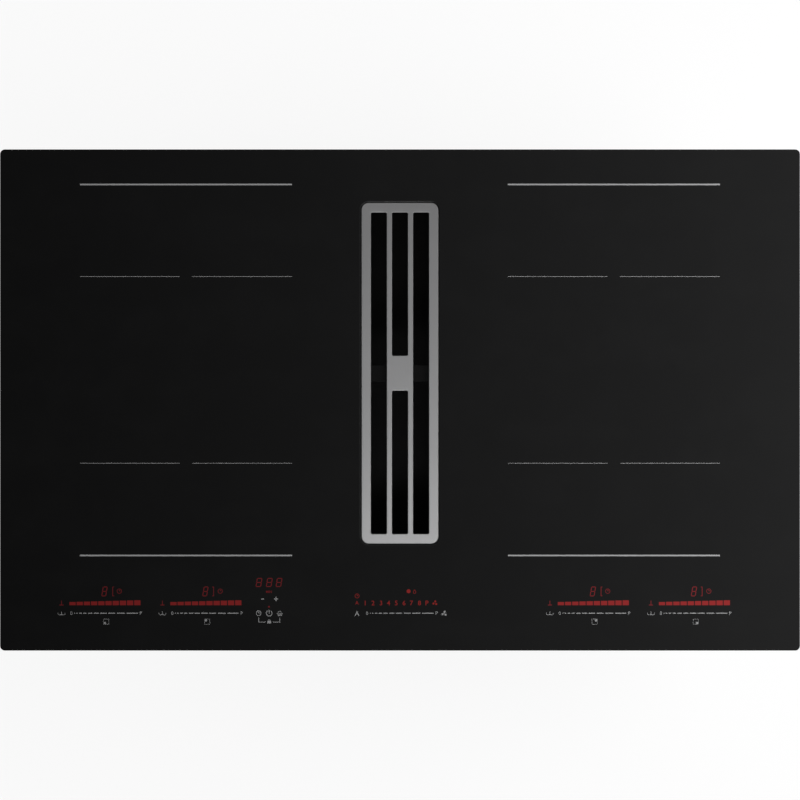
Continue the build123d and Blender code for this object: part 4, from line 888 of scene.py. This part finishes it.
# expanded metal in a folded border: one panel each side of the cassette
def makeFilterPanels():
    bm = bmesh.new()
    border, inset, overlap = filterPanel["border"], filterPanel["inset"], filterPanel["overlap"]
    for low, high in solidCorners("filter_meshes"):
        for z in (low.z, high.z - border):
            addBlock(bm, (low.x, low.y, z), (high.x, high.y, z + border), filterPanel["edge"])
        for y in (low.y, high.y - border):
            addBlock(bm, (low.x + inset, y, low.z + border - overlap),
                     (high.x - inset, y + border, high.z - border + overlap), filterPanel["edge"])
        lattice = bmesh.new()
        across, up = filterPanel["cells"]
        bmesh.ops.create_grid(lattice, x_segments=across, y_segments=up, size=0.5)
        straight = [edge for edge in lattice.edges if not edge.is_boundary]
        bmesh.ops.poke(lattice, faces=lattice.faces)
        straight = [edge for edge in straight if edge.is_valid]
        bmesh.ops.dissolve_edges(lattice, edges=straight, use_verts=False)
        length, height = (high[i] - low[i] - 2 * border + 2 * overlap for i in (1, 2))
        middle = (low + high) / 2
        bmesh.ops.scale(lattice, vec=(length, height, 1.0), verts=lattice.verts)
        for vert in lattice.verts:
            raised = len(vert.link_edges) == 4 and round(vert.co.x * across / length * 2) % 2
            vert.co.z += filterPanel["shift"] if raised else -filterPanel["shift"]
        bmesh.ops.wireframe(lattice, faces=lattice.faces, thickness=filterPanel["strand"], offset=0.0,
                            use_replace=True, use_boundary=True, use_even_offset=True)
        upright = Matrix(((0, 0, 1, middle.x), (1, 0, 0, middle.y), (0, 1, 0, middle.z), (0, 0, 0, 1)))
        bmesh.ops.transform(lattice, matrix=upright, verts=lattice.verts)
        mergeMesh(bm, lattice)
    for face in bm.faces:
        face.smooth = False
    piece = finishPiece("filterPanels", bm, bodyOf["filter_meshes"], ["filterMeshAndShade"],
                        sharpAngle=30.0, keepShade=True)
    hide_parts("filter_meshes")


makeFilterPanels()
print("filter panels made")


studio = dict(floorSize=40.0, floorDrop=0.0003, floorGrey=(0.86, 0.86, 0.86, 1.0), floorGlow=0.90,
              zenith=0.179, drift=21.8, driftLimit=0.8, horizon=(0.75, 0.30), soft=0.36)
fullWhite = (1.0, 1.0, 1.0, 1.0)

lamps = {
    "sideLamp": dict(at=(1.05, 0.03, 0.80), aim=(0.0, 0.03, 0.2), size=(0.7, 0.7), power=16.0,
                     glossy=False),
    "frontLamp": dict(at=(0.14, -0.50, 1.0), aim=(0.0, 0.0, 0.2), size=(1.2, 0.2), power=9.2,
                      diffuse=False),
    "backFill": dict(at=(-1.6, 1.9, 1.7), aim=(0.0, 0.0, 0.1), size=(1.6, 1.6), power=9.0),
}


# one where a camera ray or a transmitted ray meets the surface
def seenDirectly(tree, path):
    return compute(tree, "MAXIMUM", path.outputs["Is Camera Ray"], path.outputs["Is Transmission Ray"])


def makeFloor():
    bm = bmesh.new()
    bmesh.ops.create_grid(bm, x_segments=1, y_segments=1, size=studio["floorSize"] / 2)
    bmesh.ops.translate(bm, vec=(0.0, 0.0, -studio["floorDrop"]), verts=bm.verts)
    mesh = bpy.data.meshes.new("floor")
    bm.to_mesh(mesh)
    bm.free()
    floor = bpy.data.objects.new("floor", mesh)
    bpy.context.scene.collection.objects.link(floor)
    material = bpy.data.materials.new("floorWhite")
    material.use_nodes = True
    tree = material.node_tree
    tree.nodes.clear()
    path = tree.nodes.new("ShaderNodeLightPath")
    under = tree.nodes.new("ShaderNodeNewGeometry")
    lit = addNode(tree, "ShaderNodeBsdfDiffuse", Color=studio["floorGrey"])
    glow = addNode(tree, "ShaderNodeEmission", Color=fullWhite, Strength=1.0)
    direct = compute(tree, "MAXIMUM", seenDirectly(tree, path), path.outputs["Is Glossy Ray"])
    share = compute(tree, "MULTIPLY", direct, studio["floorGlow"])
    top = addNode(tree, "ShaderNodeMixShader", i0=share, i1=lit.outputs[0], i2=glow.outputs[0])
    clear = tree.nodes.new("ShaderNodeBsdfTransparent")
    # from below the floor is clear, so the underside can be looked at
    mix = addNode(tree, "ShaderNodeMixShader",
                  i0=under.outputs["Backfacing"], i1=top.outputs[0], i2=clear.outputs[0])
    end = tree.nodes.new("ShaderNodeOutputMaterial")
    tree.links.new(mix.outputs[0], end.inputs["Surface"])
    mesh.materials.append(material)


# a share of none gives the first value and a share of all the second
def blend(tree, share, atNone, atAll):
    return addNode(tree, "ShaderNodeMix", {"data_type": "FLOAT"}, i0=share, i2=atNone, i3=atAll).outputs[0]


# white all round at the level of the glass; what the glass and the metal mirror from above
# is dim on the left and brighter on the right
def makeWorld():
    world = bpy.data.worlds.new("studio")
    world.use_nodes = True
    bpy.context.scene.world = world
    tree = world.node_tree
    tree.nodes.clear()
    path = tree.nodes.new("ShaderNodeLightPath")
    place = tree.nodes.new("ShaderNodeTexCoord")
    aim = addNode(tree, "ShaderNodeSeparateXYZ", Vector=place.outputs["Generated"])
    lean = compute(tree, "MULTIPLY", aim.outputs["X"], studio["drift"])
    held = addNode(tree, "ShaderNodeClamp", Value=lean,
                   Min=-studio["driftLimit"], Max=studio["driftLimit"])
    above = compute(tree, "MULTIPLY", compute(tree, "EXPONENT", held.outputs[0]), studio["zenith"])
    low = addNode(tree, "ShaderNodeMapRange", {"interpolation_type": "SMOOTHERSTEP"},
                  Value=aim.outputs["Z"])
    low.inputs["From Min"].default_value, low.inputs["From Max"].default_value = studio["horizon"]
    mirrored = blend(tree, low.outputs[0], above, 1.0)
    dim = blend(tree, path.outputs["Is Glossy Ray"], studio["soft"], mirrored)
    power = blend(tree, seenDirectly(tree, path), dim, 1.0)
    sky = addNode(tree, "ShaderNodeBackground", Color=fullWhite, Strength=power)
    end = tree.nodes.new("ShaderNodeOutputWorld")
    tree.links.new(sky.outputs[0], end.inputs["Surface"])


def addLamp(name, at, aim, size, power, glossy=True, diffuse=True):
    lamp = bpy.data.lights.new(name, "AREA")
    lamp.shape = "RECTANGLE"
    lamp.size, lamp.size_y = size
    lamp.energy = power
    holder = bpy.data.objects.new(name, lamp)
    holder.location = at
    holder.rotation_euler = (Vector(aim) - Vector(at)).to_track_quat("-Z", "Y").to_euler()
    holder.visible_glossy, holder.visible_diffuse = glossy, diffuse
    bpy.context.scene.collection.objects.link(holder)


view = dict(away=12.0, width=0.83, top=0.21, sensor=36.0, clipEnd=60.0)


# a long lens straight above, so that the glass fills the width of the picture
def makeCamera():
    lens = bpy.data.cameras.new("camera")
    lens.sensor_width = view["sensor"]
    lens.lens = view["away"] * view["sensor"] / view["width"]
    lens.clip_end = view["clipEnd"]
    camera = bpy.data.objects.new("camera", lens)
    camera.location = (0.0, 0.0, view["top"] + view["away"])
    bpy.context.scene.collection.objects.link(camera)
    bpy.context.scene.camera = camera


makeFloor()
makeWorld()
for name, settings in lamps.items():
    addLamp(name, **settings)
makeCamera()
bpy.context.scene.view_settings.view_transform = "Standard"
print("studio set")
